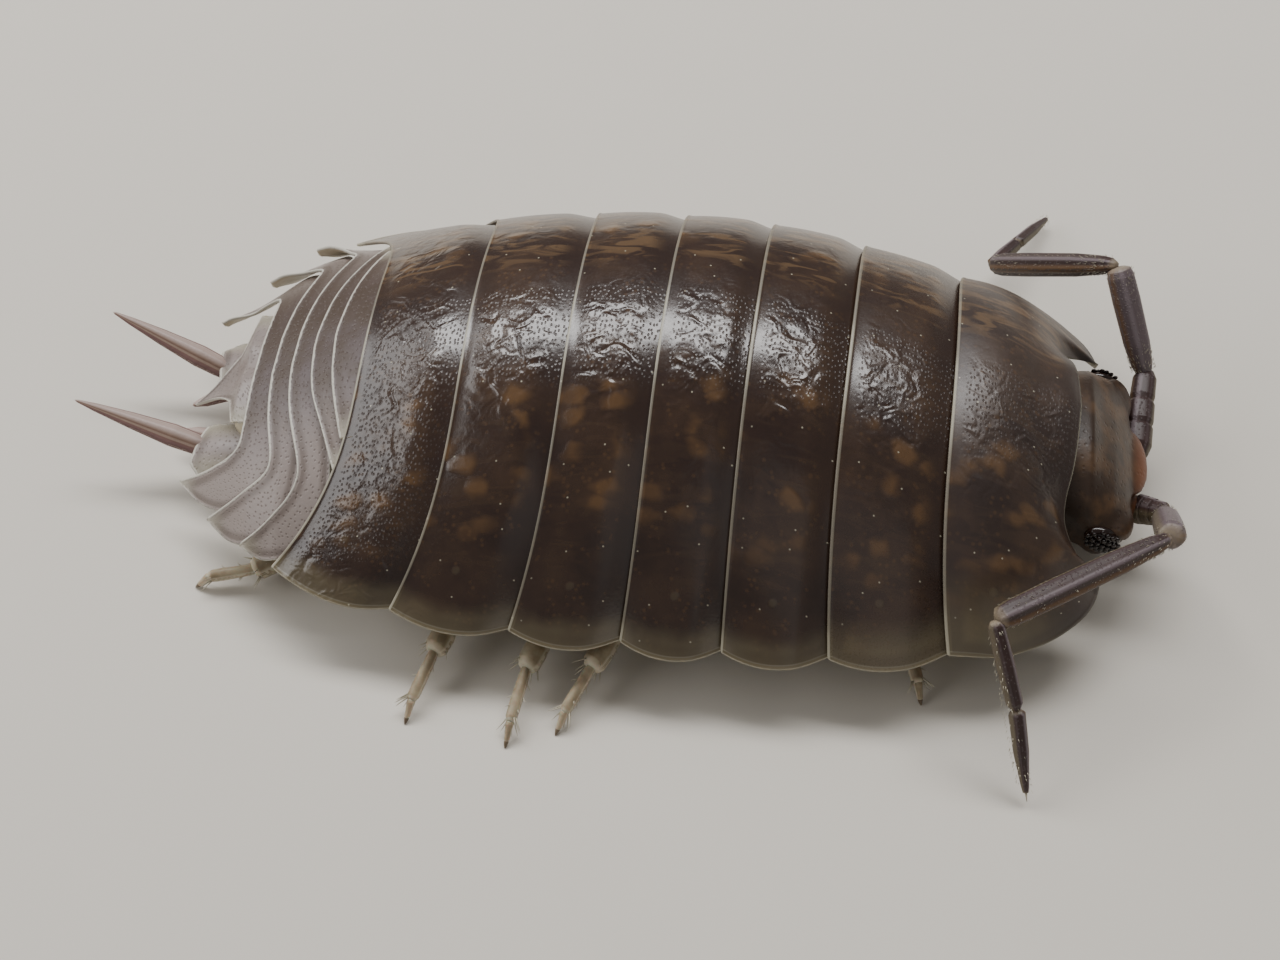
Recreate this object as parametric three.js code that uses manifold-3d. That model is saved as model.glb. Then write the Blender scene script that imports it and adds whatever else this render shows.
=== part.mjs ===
// A woodlouse at its real size, standing as it walks. All sizes are in millimetres.
// The body lies along X with the head towards +X, +Y is the animal's left and +Z is up.
// The floor is z = 0 until the whole animal is centred on its own outline at the end.

import * as THREE from 'three';
import { mergeVertices } from 'three/addons/utils/BufferGeometryUtils.js';
import Module from 'manifold-3d';

const wasm = await Module();
wasm.setup();

// Gaps and wall thickness

const GAP = 0.29;          // clear space between two neighbouring pieces
const LIP_SINK = 0.15;     // how far a plate dips under the rear edge of the one in front
const LIP_REACH = 0.6;     // depth over which a rear edge is undercut
const LIP_GAP = 0.29;      // fore-and-aft distance from a rear edge to the next plate
const SKIRT = 0.32;        // thickness of the free side edges
const SHORTEST_EDGE = 0.004; // anything finer is smoothed away where solids are joined or cut
const MERGE_REACH = 1e-4;  // corners closer than this are one corner

// The long curve of the body: it bends gently towards the animal's right behind the third plate

const BEND_START = 3.0;
const BEND_RATE = 0.010;
const UNBEND_START = -5.5;
const UNBEND_RATE = 0.004;

// The seven large plates of the trunk: place of each rear edge, how far the edge is
// drawn back at the side, half width, height at the crest and height at the side

const PLATES = [
  { rear: 5.50, sweep: -0.45, half: 4.69, crest: 4.15, edge: 1.35 },
  { rear: 3.53, sweep: -0.27, half: 5.10, crest: 4.78, edge: 1.35 },
  { rear: 1.75, sweep: -0.03, half: 5.25, crest: 5.21, edge: 1.35 },
  { rear: 0.08, sweep: 0.29, half: 5.27, crest: 5.28, edge: 1.35 },
  { rear: -1.65, sweep: 0.78, half: 5.28, crest: 5.08, edge: 1.38 },
  { rear: -3.65, sweep: 1.21, half: 5.06, crest: 4.69, edge: 1.44 },
  { rear: -5.78, sweep: 1.55, half: 4.36, crest: 3.95, edge: 1.6 },
];
const SWEEP_POWER = 4.2;   // keeps the rear edges straight across the back
const VAULT_POWER = 2.4;   // roundness of the back's cross-section
const SIDE_BULGE = 0.22;   // convex free edge of each side flap
const SIDE_DROOP = 0.09;   // the middle of a free edge hangs this much lower
const FLARE_POWER = 8;     // keeps the bulge to the outermost part of a flap
const RISE_SHARE = 0.45;   // share of a plate's length over which it comes up from its sunken front
const ACROSS = 24;         // facets from one side to the other
const CROWDING = 0.35;     // how far those facets are crowded towards the sides
const ALONG = [0, 0.2, 0.45, 1]; // steps from a plate's front to its rear edge
const BELLY_Z = 2.0;
const BELLY_EDGE_DROP = 0.13; // the inside of a side edge lies this much below its outside
const BELLY_HALF = 0.64;   // share of the half width that the flat belly takes up

// The front edge of the first plate, from the middle to the side: it holds the head
// between two forward lobes

const COLLAR = [
  [7.93, 0.0], [7.86, 1.2], [7.78, 1.75], [7.84, 2.12], [8.16, 2.46],
  [8.58, 2.66], [8.6, 2.95], [8.34, 3.45], [7.76, 4.02], [6.96, 4.5],
];
const COLLAR_CREST = 3.25;
const COLLAR_EDGE = 1.2;   // height of the lobes
const COLLAR_HALF = 2.85;  // half width at which the front edge comes down to the lobes' height
const COLLAR_FALL = 2.3;   // roundness of the front edge, seen from the front
const COLLAR_BULGE = 0.42; // how far the first plate bulges above a straight line to its rear edge

// The short tail rings: front and rear edge of each, from the middle to the side. The
// last three end in pointed side flaps.

const TAIL_RINGS = [
  {
    front: [[-5.6, 0], [-5.6, 1.2], [-5.6, 2.5]],
    rear: [[-6.55, 0], [-6.38, 1.2], [-6.0, 2.5]],
  },
  {
    front: [[-6.1, 0], [-6.0, 1.5], [-5.8, 2.6], [-5.7, 3.0]],
    rear: [[-7.03, 0], [-6.85, 1.2], [-6.44, 2.2], [-6.1, 3.0]],
  },
  {
    front: [
      [-6.6, 0], [-6.5, 1.5], [-6.3, 2.8], [-6.6, 3.8], [-7.2, 4.1], [-7.72, 4.02], [-8.02, 3.92],
    ],
    flapped: true,
    rear: [
      [-7.5, 0], [-7.35, 1.4], [-6.92, 2.6], [-6.95, 3.1], [-7.25, 3.45], [-7.65, 3.7], [-8.04, 3.84],
    ],
  },
  {
    front: [
      [-7.1, 0], [-7.0, 1.5], [-6.9, 2.8], [-7.5, 3.8], [-8.1, 3.72], [-8.62, 3.42], [-8.93, 3.16],
    ],
    flapped: true,
    rear: [
      [-7.95, 0], [-7.8, 1.5], [-7.55, 2.5], [-7.75, 2.82], [-8.15, 3.0], [-8.6, 3.07], [-8.94, 3.08],
    ],
  },
  {
    front: [
      [-7.55, 0], [-7.4, 1.6], [-7.4, 2.5], [-8.2, 3.05], [-8.9, 2.86], [-9.48, 2.45], [-9.83, 2.12],
    ],
    flapped: true,
    rear: [
      [-8.4, 0], [-8.34, 1.6], [-8.42, 2.02], [-8.75, 2.15], [-9.2, 2.14], [-9.6, 2.08], [-9.84, 2.04],
    ],
  },
];
const TAIL_STEP = 0.22;    // how far each ring dips under the one in front
const TAIL_THICK = 0.62;
const TAIL_TIP_THICK = 0.3;
const TAIL_FACETS = { plain: 8, flapped: 12 };
const TAIL_ALONG = [0, 0.35, 0.7, 1];
const FLAP = { thinFrom: 0.45, levelFrom: 0.8 }; // shares of the way out where a flap thins and levels
const TAIL_UNDERCUT = { most: 0.45, share: 0.6, from: 0.35, to: 0.55 };
const TAIL_CLEARANCE = { reach: 1.2, rise: 0.9, floor: -1, front: 0, ceiling: 8 };
const TAIL_CORE_DEPTH = 0.3; // the rings' shared core lies this far under their tops
const TAIL_CORE = { front: -5.7, rear: -8.1, halfFront: 2.9, halfRear: 2.1, bottom: 1.25, lowShare: 0.75 };
const TAIL_CORE_FACETS = { along: 4, across: 10 };

// Height of the back at the crest and at the side, and half width, by place along the body

const BACK = [
  { x: -10.1, half: 2.0, crest: 1.1, edge: 1.05 },
  { x: -9.84, half: 2.6, crest: 1.2, edge: 1.08 },
  { x: -8.94, half: 3.3, crest: 2.1, edge: 1.24 },
  { x: -8.4, half: 3.7, crest: 2.5, edge: 1.4 },
  { x: -8.04, half: 3.95, crest: 2.7, edge: 1.56 },
  { x: -7.33, half: 4.36, crest: 3.07, edge: 1.6 },
  { x: -6.22, half: 4.5, crest: 3.72, edge: 1.55 },
  { x: -5.78, half: 4.6, crest: 3.95, edge: 1.5 },
  { x: -3.65, half: 5.06, crest: 4.69, edge: 1.44 },
];

// The end piece of the tail, a plate drawn out to a point

const TELSON = {
  front: -8.72, tip: -10.03, half: 1.45, neckX: -8.97, neckHalf: 0.6, cornerX: -8.76,
  shoulderX: -8.82, shoulderHalf: 0.95, pointHalf: 0.22, tipHalf: 0.05,
  frontZ: 2.42, neckZ: 2.02, tipZ: 1.2, fall: 0.26, thick: 0.5, tipThick: 0.3, undercut: 0.3,
  facets: 9, along: [0, 0.3, 0.65, 1],
};

// The tail feet (uropods): a flat base under the end piece, a long outer spear and a
// short inner one

const UROPOD_BASE = {
  front: -8.75, rear: -9.62, inner: 0.62, outer: 1.52, top: 1.18, bottom: 0.66,
  slant: 0.16, frontBevel: 0.18, sideBevel: 0.16, innerBevel: 0.07, along: [0, 0.15, 0.6, 1],
};
const UROPOD_SPEAR = { root: [-10.0, 1.04, 1.12], wide: 0.27, high: 0.25 };
const SPEAR_TIPS = { right: [-12.15, -0.76, 2.08], left: [-11.92, 1.58, 2.2] };
const UROPOD_INNER = { root: [-9.35, 0.72, 0.78], tip: [-10.35, 0.34, 0.62], radius: 0.17, point: 0.08 };
const SPEAR_SHAPE = [[0, 0.72], [0.08, 0.95], [0.3, 1], [0.6, 0.74], [0.85, 0.46], [1, 0.33]];

// The gill plates under the tail

const GILLS = {
  count: 5, front: -5.75, rear: -8.35, last: -8.55, inner: 0.17, outer: 1.75, narrowing: 0.16,
  top: 0.94, drop: 0.08, thick: 0.3, overlap: 1.55, point: 0.2, slant: 0.12,
};

// The head, by sections from the neck to the brow: half width, top and bottom

const HEAD = [
  { x: 8.22, half: 1.8, top: 2.92, bottom: 1.05 },
  { x: 8.42, half: 2.0, top: 2.72, bottom: 0.82 },
  { x: 8.72, half: 2.04, top: 2.42, bottom: 0.68 },
  { x: 8.96, half: 1.88, top: 2.12, bottom: 0.7 },
  { x: 9.08, half: 1.62, top: 1.94, bottom: 0.85 },
  { x: 9.14, half: 1.2, top: 1.8, bottom: 1.05 },
];
const HEAD_MIDDLE_Z = 1.5;
const HEAD_FACETS = 22;
const HEAD_ROUNDNESS = { top: 0.86, bottom: 0.8, rise: 0.85 };
const FACE_LEAN = 0.75;    // how far the face falls back below the brow
const FACE_LEAN_TOP = 0.05; // above this height over the middle the face stands upright
const BALL_FACETS = 12;
const BROW = { x: 9.16, z: 1.72, reach: 0.4, half: 0.78, thick: 0.17, tilt: 0.5 };
const SIDE_LOBE = { x: 8.9, y: 1.46, z: 1.84, reach: 0.34, half: 0.5, thick: 0.17, tilt: 0.55 };
const EYE = { x: 8.61, z: 1.74, long: 0.37, high: 0.28, deep: 0.24, tilt: 0.5 };
const EYE_SEAT = 1.66;     // distance from the middle to the flat that each eye sits on
const EYE_NOTCH = { long: 1.3, high: 1.1, deep: 1 };
const JAW = { x: 8.74, y: 0.5, z: 0.98, long: 0.42, wide: 0.42, high: 0.5 };
const JAW_PALP = { x: 8.45, y: 0.42, z: 0.82, long: 0.75, wide: 0.36, high: 0.34 };
const LIP_PIECE = { x: 9.12, z: 1.06, long: 0.2, wide: 0.55, high: 0.26 };

// The feelers: joints from the face outwards, with the thickness at each

const FEELER_JOINTS = {
  right: [
    [9.58, -0.72, 1.1], [9.84, -0.98, 1.46], [9.64, -2.42, 2.72], [6.54, -4.82, 2.94],
    [7.16, -5.75, 1.55], [7.58, -6.72, 0.2],
  ],
  left: [
    [9.56, 0.72, 1.1], [9.54, 2.44, 1.52], [8.62, 3.7, 3.36], [6.4, 5.72, 1.04],
    [6.95, 6.72, 0.8], [7.72, 8.3, 0.2],
  ],
};
const FEELER_RADII = { base: 0.28, fourth: [0.24, 0.3], fifth: [0.25, 0.26], whip: [0.25, 0.25, 0.13] };

// The legs: where each starts under the belly, then its two bends and its foot. They
// are given for the animal's right side and for its left.

const HIP_Z = 1.4;
const LEGS = {
  right: [
    { hip: [6.5, 2.35], knee: [6.9, 1.5], shin: [7.35, 2.55, 0.62], foot: [7.55, 3.3] },
    { hip: [4.5, 2.8], knee: [4.9, 1.6], shin: [5.2, 3.95, 0.58], foot: [5.62, 5.05] },
    { hip: [2.6, 3.0], knee: [2.9, 1.6], shin: [3.15, 3.5, 0.6], foot: [3.4, 4.3] },
    { hip: [0.85, 3.05], knee: [0.95, 1.6], shin: [-0.8, 5.4, 0.56], foot: [-1.38, 6.65] },
    { hip: [-0.85, 3.05], knee: [-0.75, 1.6], shin: [-2.1, 5.55, 0.56], foot: [-2.34, 7.02] },
    { hip: [-2.7, 2.95], knee: [-2.75, 1.6], shin: [-4.02, 5.36, 0.56], foot: [-4.46, 6.7] },
    { hip: [-4.75, 2.7], knee: [-4.9, 1.7], shin: [-8.1, 3.66, 0.42], foot: [-9.42, 3.9] },
  ],
  left: [
    { hip: [6.5, 2.35], knee: [6.9, 1.5], shin: [7.5, 2.6, 0.62], foot: [7.95, 3.35] },
    { hip: [4.5, 2.8], knee: [4.9, 1.6], shin: [5.0, 3.9, 0.58], foot: [5.2, 4.95] },
    { hip: [2.6, 3.0], knee: [2.9, 1.6], shin: [2.7, 4.2, 0.6], foot: [2.75, 5.4] },
    { hip: [0.85, 3.05], knee: [0.95, 1.6], shin: [-0.35, 5.1, 0.56], foot: [-0.85, 6.35] },
    { hip: [-0.85, 3.05], knee: [-0.75, 1.6], shin: [-2.2, 5.4, 0.56], foot: [-2.85, 6.7] },
    { hip: [-2.7, 2.95], knee: [-2.75, 1.6], shin: [-4.2, 5.2, 0.56], foot: [-5.05, 6.45] },
    { hip: [-4.75, 2.7], knee: [-4.9, 1.7], shin: [-7.6, 4.1, 0.45], foot: [-8.75, 4.6] },
  ],
};
const KNEE_Z = 0.85;
const UPPER_SHARE = 0.5;   // where the joint above the shin lies on the way from the knee
const ANKLE_SHARE = 0.7;   // where the last joint lies on the way from the shin to the foot
const ANKLE_Z = 0.34;
const LEG_RADII = { thigh: 0.31, foreleg: 0.29, shin: 0.27, foot: 0.25, sole: 0.14 };

// Colours of the body's finishes

const FINISH = {
  shell: new THREE.MeshStandardMaterial({ color: 0x3d342f, roughness: 0.32 }),
  tail: new THREE.MeshStandardMaterial({ color: 0x756d70, roughness: 0.42 }),
  face: new THREE.MeshStandardMaterial({ color: 0x4a3a2d, roughness: 0.45 }),
  eye: new THREE.MeshStandardMaterial({ color: 0x0c0a0a, roughness: 0.2 }),
  feeler: new THREE.MeshStandardMaterial({ color: 0x544750, roughness: 0.5 }),
  spear: new THREE.MeshStandardMaterial({ color: 0x6a5356, roughness: 0.45 }),
  limb: new THREE.MeshStandardMaterial({ color: 0xb8ab95, roughness: 0.5 }),
  gill: new THREE.MeshStandardMaterial({ color: 0xc9c0ac, roughness: 0.55 }),
};

const SIDES = { right: -1, left: 1 };
const UP = new THREE.Vector3(0, 0, 1);

function vec(x, y, z) {
  return new THREE.Vector3(x, y, z);
}

function mix(a, b, share) {
  return a + (b - a) * share;
}

function smooth(share) {
  const s = Math.min(Math.max(share, 0), 1);
  return s * s * (3 - 2 * s);
}

// Value of one column of a table, read between its rows by x.
function lookUp(table, x, key) {
  const last = table.length - 1;
  if (x <= table[0].x) return table[0][key];
  if (x >= table[last].x) return table[last][key];
  const i = table.findIndex((row) => row.x > x);
  const share = (x - table[i - 1].x) / (table[i].x - table[i - 1].x);
  return mix(table[i - 1][key], table[i][key], share);
}

// A point on a smooth curve through plan points, t from 0 in the middle to 1 at the side.
function alongEdge(points, t) {
  const curve = new THREE.CatmullRomCurve3(points.map(([x, y]) => vec(x, y, 0)), false, 'centripetal');
  return curve.getPoint(t);
}

// Closed solid through a row of rings. A ring of one point ends it in a tip, and any
// other end is closed by a flat fan.
function loft(rings) {
  const vertices = [];
  const faces = [];
  const starts = rings.map((ring) => {
    const start = vertices.length;
    vertices.push(...ring);
    return start;
  });
  const distance = (a, b) => vertices[a].distanceTo(vertices[b]);
  for (let i = 0; i < rings.length - 1; i += 1) {
    const here = rings[i].length;
    const next = rings[i + 1].length;
    const n = Math.max(here, next);
    for (let j = 0; j < n; j += 1) {
      const k = (j + 1) % n;
      const a = starts[i] + (here > 1 ? j : 0);
      const b = starts[i] + (here > 1 ? k : 0);
      const c = starts[i + 1] + (next > 1 ? k : 0);
      const d = starts[i + 1] + (next > 1 ? j : 0);
      if (a === b) faces.push([a, c, d]);
      else if (c === d) faces.push([a, b, c]);
      else if (distance(a, c) <= distance(b, d)) faces.push([a, b, c], [a, c, d]);
      else faces.push([a, b, d], [b, c, d]);
    }
  }
  for (const [index, flip] of [[0, true], [rings.length - 1, false]]) {
    const ring = rings[index];
    if (ring.length === 1) continue;
    const centre = ring.reduce((sum, p) => sum.add(p), vec(0, 0, 0)).divideScalar(ring.length);
    const hub = vertices.push(centre) - 1;
    for (let j = 0; j < ring.length; j += 1) {
      const a = starts[index] + j;
      const b = starts[index] + ((j + 1) % ring.length);
      faces.push(flip ? [hub, b, a] : [hub, a, b]);
    }
  }
  const geometry = new THREE.BufferGeometry().setFromPoints(vertices);
  const inward = signedVolume(vertices, faces) < 0;
  geometry.setIndex(faces.flatMap(([a, b, c]) => (inward ? [a, c, b] : [a, b, c])));
  return geometry;
}

function signedVolume(vertices, faces) {
  let sum = 0;
  for (const [a, b, c] of faces) {
    sum += vertices[a].dot(vertices[b].clone().cross(vertices[c]));
  }
  return sum / 6;
}

// Manifold solids, for joining and cutting

function toSolid(geometry) {
  const bare = geometry.clone();
  bare.deleteAttribute('normal');
  bare.deleteAttribute('uv');
  const merged = mergeVertices(bare, MERGE_REACH);
  return new wasm.Manifold(new wasm.Mesh({
    numProp: 3,
    vertProperties: new Float32Array(merged.attributes.position.array),
    triVerts: new Uint32Array(merged.index.array),
  }));
}

function toGeometry(solid) {
  const pieces = solid.simplify(SHORTEST_EDGE).decompose();
  pieces.sort((a, b) => b.volume() - a.volume());
  const mesh = pieces[0].getMesh();
  const geometry = new THREE.BufferGeometry();
  geometry.setAttribute('position', new THREE.BufferAttribute(new Float32Array(mesh.vertProperties), 3));
  geometry.setIndex(new THREE.BufferAttribute(new Uint32Array(mesh.triVerts), 1));
  return geometry;
}

function join(geometries) {
  return geometries.map(toSolid).reduce((sum, solid) => sum.add(solid));
}

// An ellipsoid with few facets, tilted nose down and then set in place.
function ellipsoid(centre, radii, tilt = 0) {
  const geometry = new THREE.SphereGeometry(1, BALL_FACETS, Math.round(BALL_FACETS * 0.6));
  geometry.rotateX(Math.PI / 2);
  geometry.scale(...radii);
  geometry.rotateY(tilt);
  geometry.translate(...centre);
  return geometry;
}

// A straight or bent rod: rings square to its way, mitred where it turns. Ends can be
// given their own plane by a normal.
function rod(points, radii, { sides = 8, startNormal = null, endNormal = null, flat = 1 } = {}) {
  const last = points.length - 1;
  const rings = points.map((point, i) => {
    const before = points[i].clone().sub(points[Math.max(i - 1, 0)]).normalize();
    const after = points[Math.min(i + 1, last)].clone().sub(points[i]).normalize();
    const way = i === 0 ? after : before;
    let normal = before.clone().add(after).normalize();
    if (i === 0 && startNormal) normal = startNormal;
    if (i === last && endNormal) normal = endNormal;
    const across = vec(0, 0, 0).crossVectors(UP, way).normalize();
    const over = vec(0, 0, 0).crossVectors(way, across).normalize();
    return Array.from({ length: sides }, (_, j) => {
      const angle = (2 * Math.PI * (j + 0.5)) / sides;
      const spoke = across.clone().multiplyScalar(Math.cos(angle) * radii[i]);
      spoke.addScaledVector(over, Math.sin(angle) * radii[i] * flat);
      spoke.addScaledVector(way, -spoke.dot(normal) / way.dot(normal));
      return point.clone().add(spoke);
    });
  });
  return loft(rings);
}

// One article of a limb: slim at its root, widest near its far end, rounded at both.
function article(start, end, radiusStart, radiusEnd, sides = 6) {
  const way = end.clone().sub(start).normalize();
  const length = start.distanceTo(end);
  const at = (along) => start.clone().addScaledVector(way, along);
  const lead = radiusStart * 0.55;
  const tail = radiusEnd * 0.55;
  return rod(
    [at(-lead), at(radiusStart * 0.35), at(length - radiusEnd * 0.45), at(length + tail)],
    [radiusStart * 0.55, radiusStart * 0.94, radiusEnd, radiusEnd * 0.6],
    { sides },
  );
}

// The gentle bend of the whole body

function bendPoint(point) {
  const s = Math.min(point.x - BEND_START, 0);
  const e = Math.min(point.x - UNBEND_START, 0);
  const angle = BEND_RATE * s - UNBEND_RATE * e;
  const shift = (-BEND_RATE * s * s + UNBEND_RATE * e * e) / 2;
  return vec(point.x + point.y * Math.sin(angle), shift + point.y * Math.cos(angle), point.z);
}

function bend(geometry) {
  const position = geometry.attributes.position;
  const point = vec(0, 0, 0);
  for (let i = 0; i < position.count; i += 1) {
    point.fromBufferAttribute(position, i);
    const bent = bendPoint(point);
    position.setXYZ(i, bent.x, bent.y, bent.z);
  }
  return geometry;
}

// Trunk plates

function edgePoint(plate, t) {
  const side = Math.abs(t);
  return vec(
    plate.rear - plate.sweep * side ** SWEEP_POWER,
    plate.half * t,
    plate.edge + (plate.crest - plate.edge) * (1 - side ** VAULT_POWER),
  );
}

// Fore-and-aft clearance behind a plate: wider where its edge runs slanting.
function lipGap(plate, t) {
  const slope = (plate.sweep * SWEEP_POWER * Math.abs(t) ** (SWEEP_POWER - 1)) / plate.half;
  return LIP_GAP * Math.hypot(1, slope);
}

// Outward direction of the back's cross-section at t.
function vaultNormal(plate, t) {
  const steepness = (VAULT_POWER * (plate.crest - plate.edge)) / plate.half;
  return vec(0, steepness * Math.abs(t) ** (VAULT_POWER - 1) * Math.sign(t), 1).normalize();
}

function collarPoint(t) {
  const plan = alongEdge(COLLAR, Math.abs(t));
  const fall = Math.min(plan.y / COLLAR_HALF, 1) ** COLLAR_FALL;
  return vec(plan.x, plan.y * Math.sign(t), COLLAR_EDGE + (COLLAR_CREST - COLLAR_EDGE) * (1 - fall));
}

// The point under an outer point, on the belly or on the inside of a side flap.
function bellyPoint(outer, t, half, edge) {
  const y = t * (half - SKIRT);
  const flat = BELLY_HALF * half;
  const rise = smooth((Math.abs(y) - flat) / (half - SKIRT - flat));
  const z = Math.min(mix(BELLY_Z, edge - BELLY_EDGE_DROP, rise), outer.z - BELLY_EDGE_DROP);
  return vec(outer.x, y, z);
}

// One closed loop down through a plate at t: over the top from front to back, down the
// undercut rear, along the belly and up the front.
function plateLoop(index, t) {
  const plate = PLATES[index];
  const first = index === 0;
  const ahead = first ? null : PLATES[index - 1];
  const top = ALONG.map((u) => {
    const front = first ? collarPoint(t) : edgePoint(ahead, t);
    const rear = edgePoint(plate, t);
    const point = front.clone().lerp(rear, u);
    const rim = 4 * u * (1 - u);
    const flare = Math.abs(t) ** FLARE_POWER;
    const normal = vaultNormal(plate, t);
    if (first) {
      point.z += COLLAR_BULGE * rim * (1 - flare);
      return point;
    }
    point.x -= lipGap(ahead, t) * (1 - u);
    point.addScaledVector(normal, -LIP_SINK * (1 - smooth(u / RISE_SHARE)));
    point.y += SIDE_BULGE * rim * Math.sign(t) * flare;
    point.z -= SIDE_DROOP * rim * flare;
    return point;
  });
  const frontHalf = first ? collarPoint(1).y : ahead.half;
  const frontEdge = first ? COLLAR_EDGE : ahead.edge;
  const bottom = top.map((outer, i) => {
    const half = mix(frontHalf, plate.half, ALONG[i]);
    const share = first ? outer.y / half : t;
    const point = bellyPoint(outer, share, half, mix(frontEdge, plate.edge, ALONG[i]));
    if (first) point.y = outer.y * (1 - SKIRT / half);
    return point;
  });
  const depth = (i) => Math.hypot(top[i].y - bottom[i].y, top[i].z - bottom[i].z);
  const slant = (i) => (first ? ALONG[i] : 1) * Math.min(depth(i), LIP_REACH);
  const middle = (i) => {
    const share = depth(i) > LIP_REACH ? LIP_REACH / depth(i) : 0.5;
    const point = top[i].clone().lerp(bottom[i], share);
    point.x = top[i].x + slant(i) * (depth(i) > LIP_REACH ? 1 : 0.5);
    return point;
  };
  const last = ALONG.length - 1;
  const under = bottom.map((point, i) => vec(top[i].x + slant(i), point.y, point.z));
  return [...top, middle(last), ...under.reverse(), middle(0)];
}

function trunkPlate(index) {
  const loops = [];
  for (let j = 0; j <= ACROSS; j += 1) {
    const even = (2 * j) / ACROSS - 1;
    const t = mix(even, Math.sin((even * Math.PI) / 2), CROWDING);
    loops.push(plateLoop(index, t));
  }
  return loft(loops);
}

// Everything ahead of the last trunk plate's undercut rear edge, to cut the tail clear.
function trunkClearance() {
  const plate = PLATES[PLATES.length - 1];
  const { rise, floor, front, ceiling } = TAIL_CLEARANCE;
  const loops = [];
  for (let j = 0; j <= ACROSS; j += 1) {
    const t = TAIL_CLEARANCE.reach * ((2 * j) / ACROSS - 1);
    const outer = edgePoint(plate, t);
    const inner = bellyPoint(outer, t, plate.half, plate.edge);
    const inward = inner.clone().sub(outer).setX(0).normalize();
    const step = (depth) => {
      const point = outer.clone().addScaledVector(inward, depth);
      point.x = outer.x - lipGap(plate, t) - LIP_SINK + depth;
      return point;
    };
    const lip = step(LIP_SINK + LIP_REACH);
    loops.push([
      step(-rise),
      lip,
      vec(lip.x, lip.y, floor),
      vec(front, lip.y, floor),
      vec(front, outer.y, ceiling),
    ]);
  }
  return loft(loops);
}

// Tail rings

function backTop(x, y) {
  const edge = lookUp(BACK, x, 'edge');
  const share = Math.min(Math.abs(y) / lookUp(BACK, x, 'half'), 1);
  return edge + (lookUp(BACK, x, 'crest') - edge) * (1 - share ** VAULT_POWER);
}

function tailRing({ front, rear, flapped }) {
  const steps = flapped ? TAIL_FACETS.flapped : TAIL_FACETS.plain;
  const cut = TAIL_UNDERCUT;
  const loops = [];
  for (let j = -steps; j <= steps; j += 1) {
    const t = Math.abs(j) / steps;
    const side = Math.sign(j) || 1;
    const head = alongEdge(front, t);
    const tail = alongEdge(rear, t);
    const thinning = flapped ? smooth((t - FLAP.thinFrom) / (1 - FLAP.thinFrom)) : 0;
    const thick = mix(TAIL_THICK, TAIL_TIP_THICK, thinning);
    const level = smooth((t - FLAP.levelFrom) / (1 - FLAP.levelFrom));
    const top = TAIL_ALONG.map((u) => {
      const x = mix(head.x, tail.x, u);
      const y = mix(head.y, tail.y, u);
      return vec(x, y * side, backTop(x, y) - TAIL_STEP * (1 - u) * (1 - level));
    });
    const fade = 1 - smooth((t - cut.from) / (cut.to - cut.from));
    const tuck = Math.min(cut.most, cut.share * (head.x - tail.x)) * fade;
    const last = top.length - 1;
    const low = top.map((point, i) => (
      vec(point.x + (i === last ? tuck : 0), point.y, point.z - thick)));
    loops.push([...top, ...low.reverse()]);
  }
  return loft(loops);
}

function tailCore() {
  const { front, rear, halfFront, halfRear, bottom, lowShare } = TAIL_CORE;
  const { along, across } = TAIL_CORE_FACETS;
  const rings = [];
  for (let i = 0; i <= along; i += 1) {
    const x = mix(front, rear, i / along);
    const half = mix(halfFront, halfRear, i / along);
    const ring = [];
    for (let j = 0; j <= across; j += 1) {
      const y = half * ((2 * j) / across - 1);
      ring.push(vec(x, y, backTop(x, y) - TAIL_CORE_DEPTH));
    }
    ring.push(vec(x, half * lowShare, bottom));
    ring.push(vec(x, -half * lowShare, bottom));
    rings.push(ring);
  }
  return loft(rings);
}

function tail() {
  const whole = join([tailCore(), ...TAIL_RINGS.map(tailRing)]);
  return toGeometry(whole.subtract(toSolid(trunkClearance())));
}

function telson() {
  const d = TELSON;
  const crest = (x) => (x > d.neckX
    ? mix(d.neckZ, d.frontZ, (x - d.neckX) / (d.front - d.neckX))
    : mix(d.tipZ, d.neckZ, (x - d.tip) / (d.neckX - d.tip)));
  const outline = [
    [d.tip, d.tipHalf],
    [mix(d.tip, d.neckX, 0.5), d.pointHalf],
    [d.neckX, d.neckHalf],
    [d.shoulderX, d.shoulderHalf],
    [d.cornerX, d.half],
  ];
  const loops = [];
  for (let j = -d.facets; j <= d.facets; j += 1) {
    const t = Math.abs(j) / d.facets;
    const side = Math.sign(j) || 1;
    const rear = alongEdge(outline, t);
    if (j === 0) rear.y = 0;
    const y0 = d.half * t;
    const top = d.along.map((u) => {
      const x = mix(d.front, rear.x, u);
      const y = mix(y0, rear.y, u);
      return vec(x, y * side, crest(x) - d.fall * y * y);
    });
    const thin = mix(d.tipThick, d.thick, smooth(t * 2));
    const last = top.length - 1;
    const low = top.map((p, i) => (
      vec(i === 0 ? p.x + d.undercut : p.x, p.y, p.z - (i === last ? thin : d.thick))));
    loops.push([...top, ...low.reverse()]);
  }
  return loft(loops);
}

// Tail feet

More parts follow.
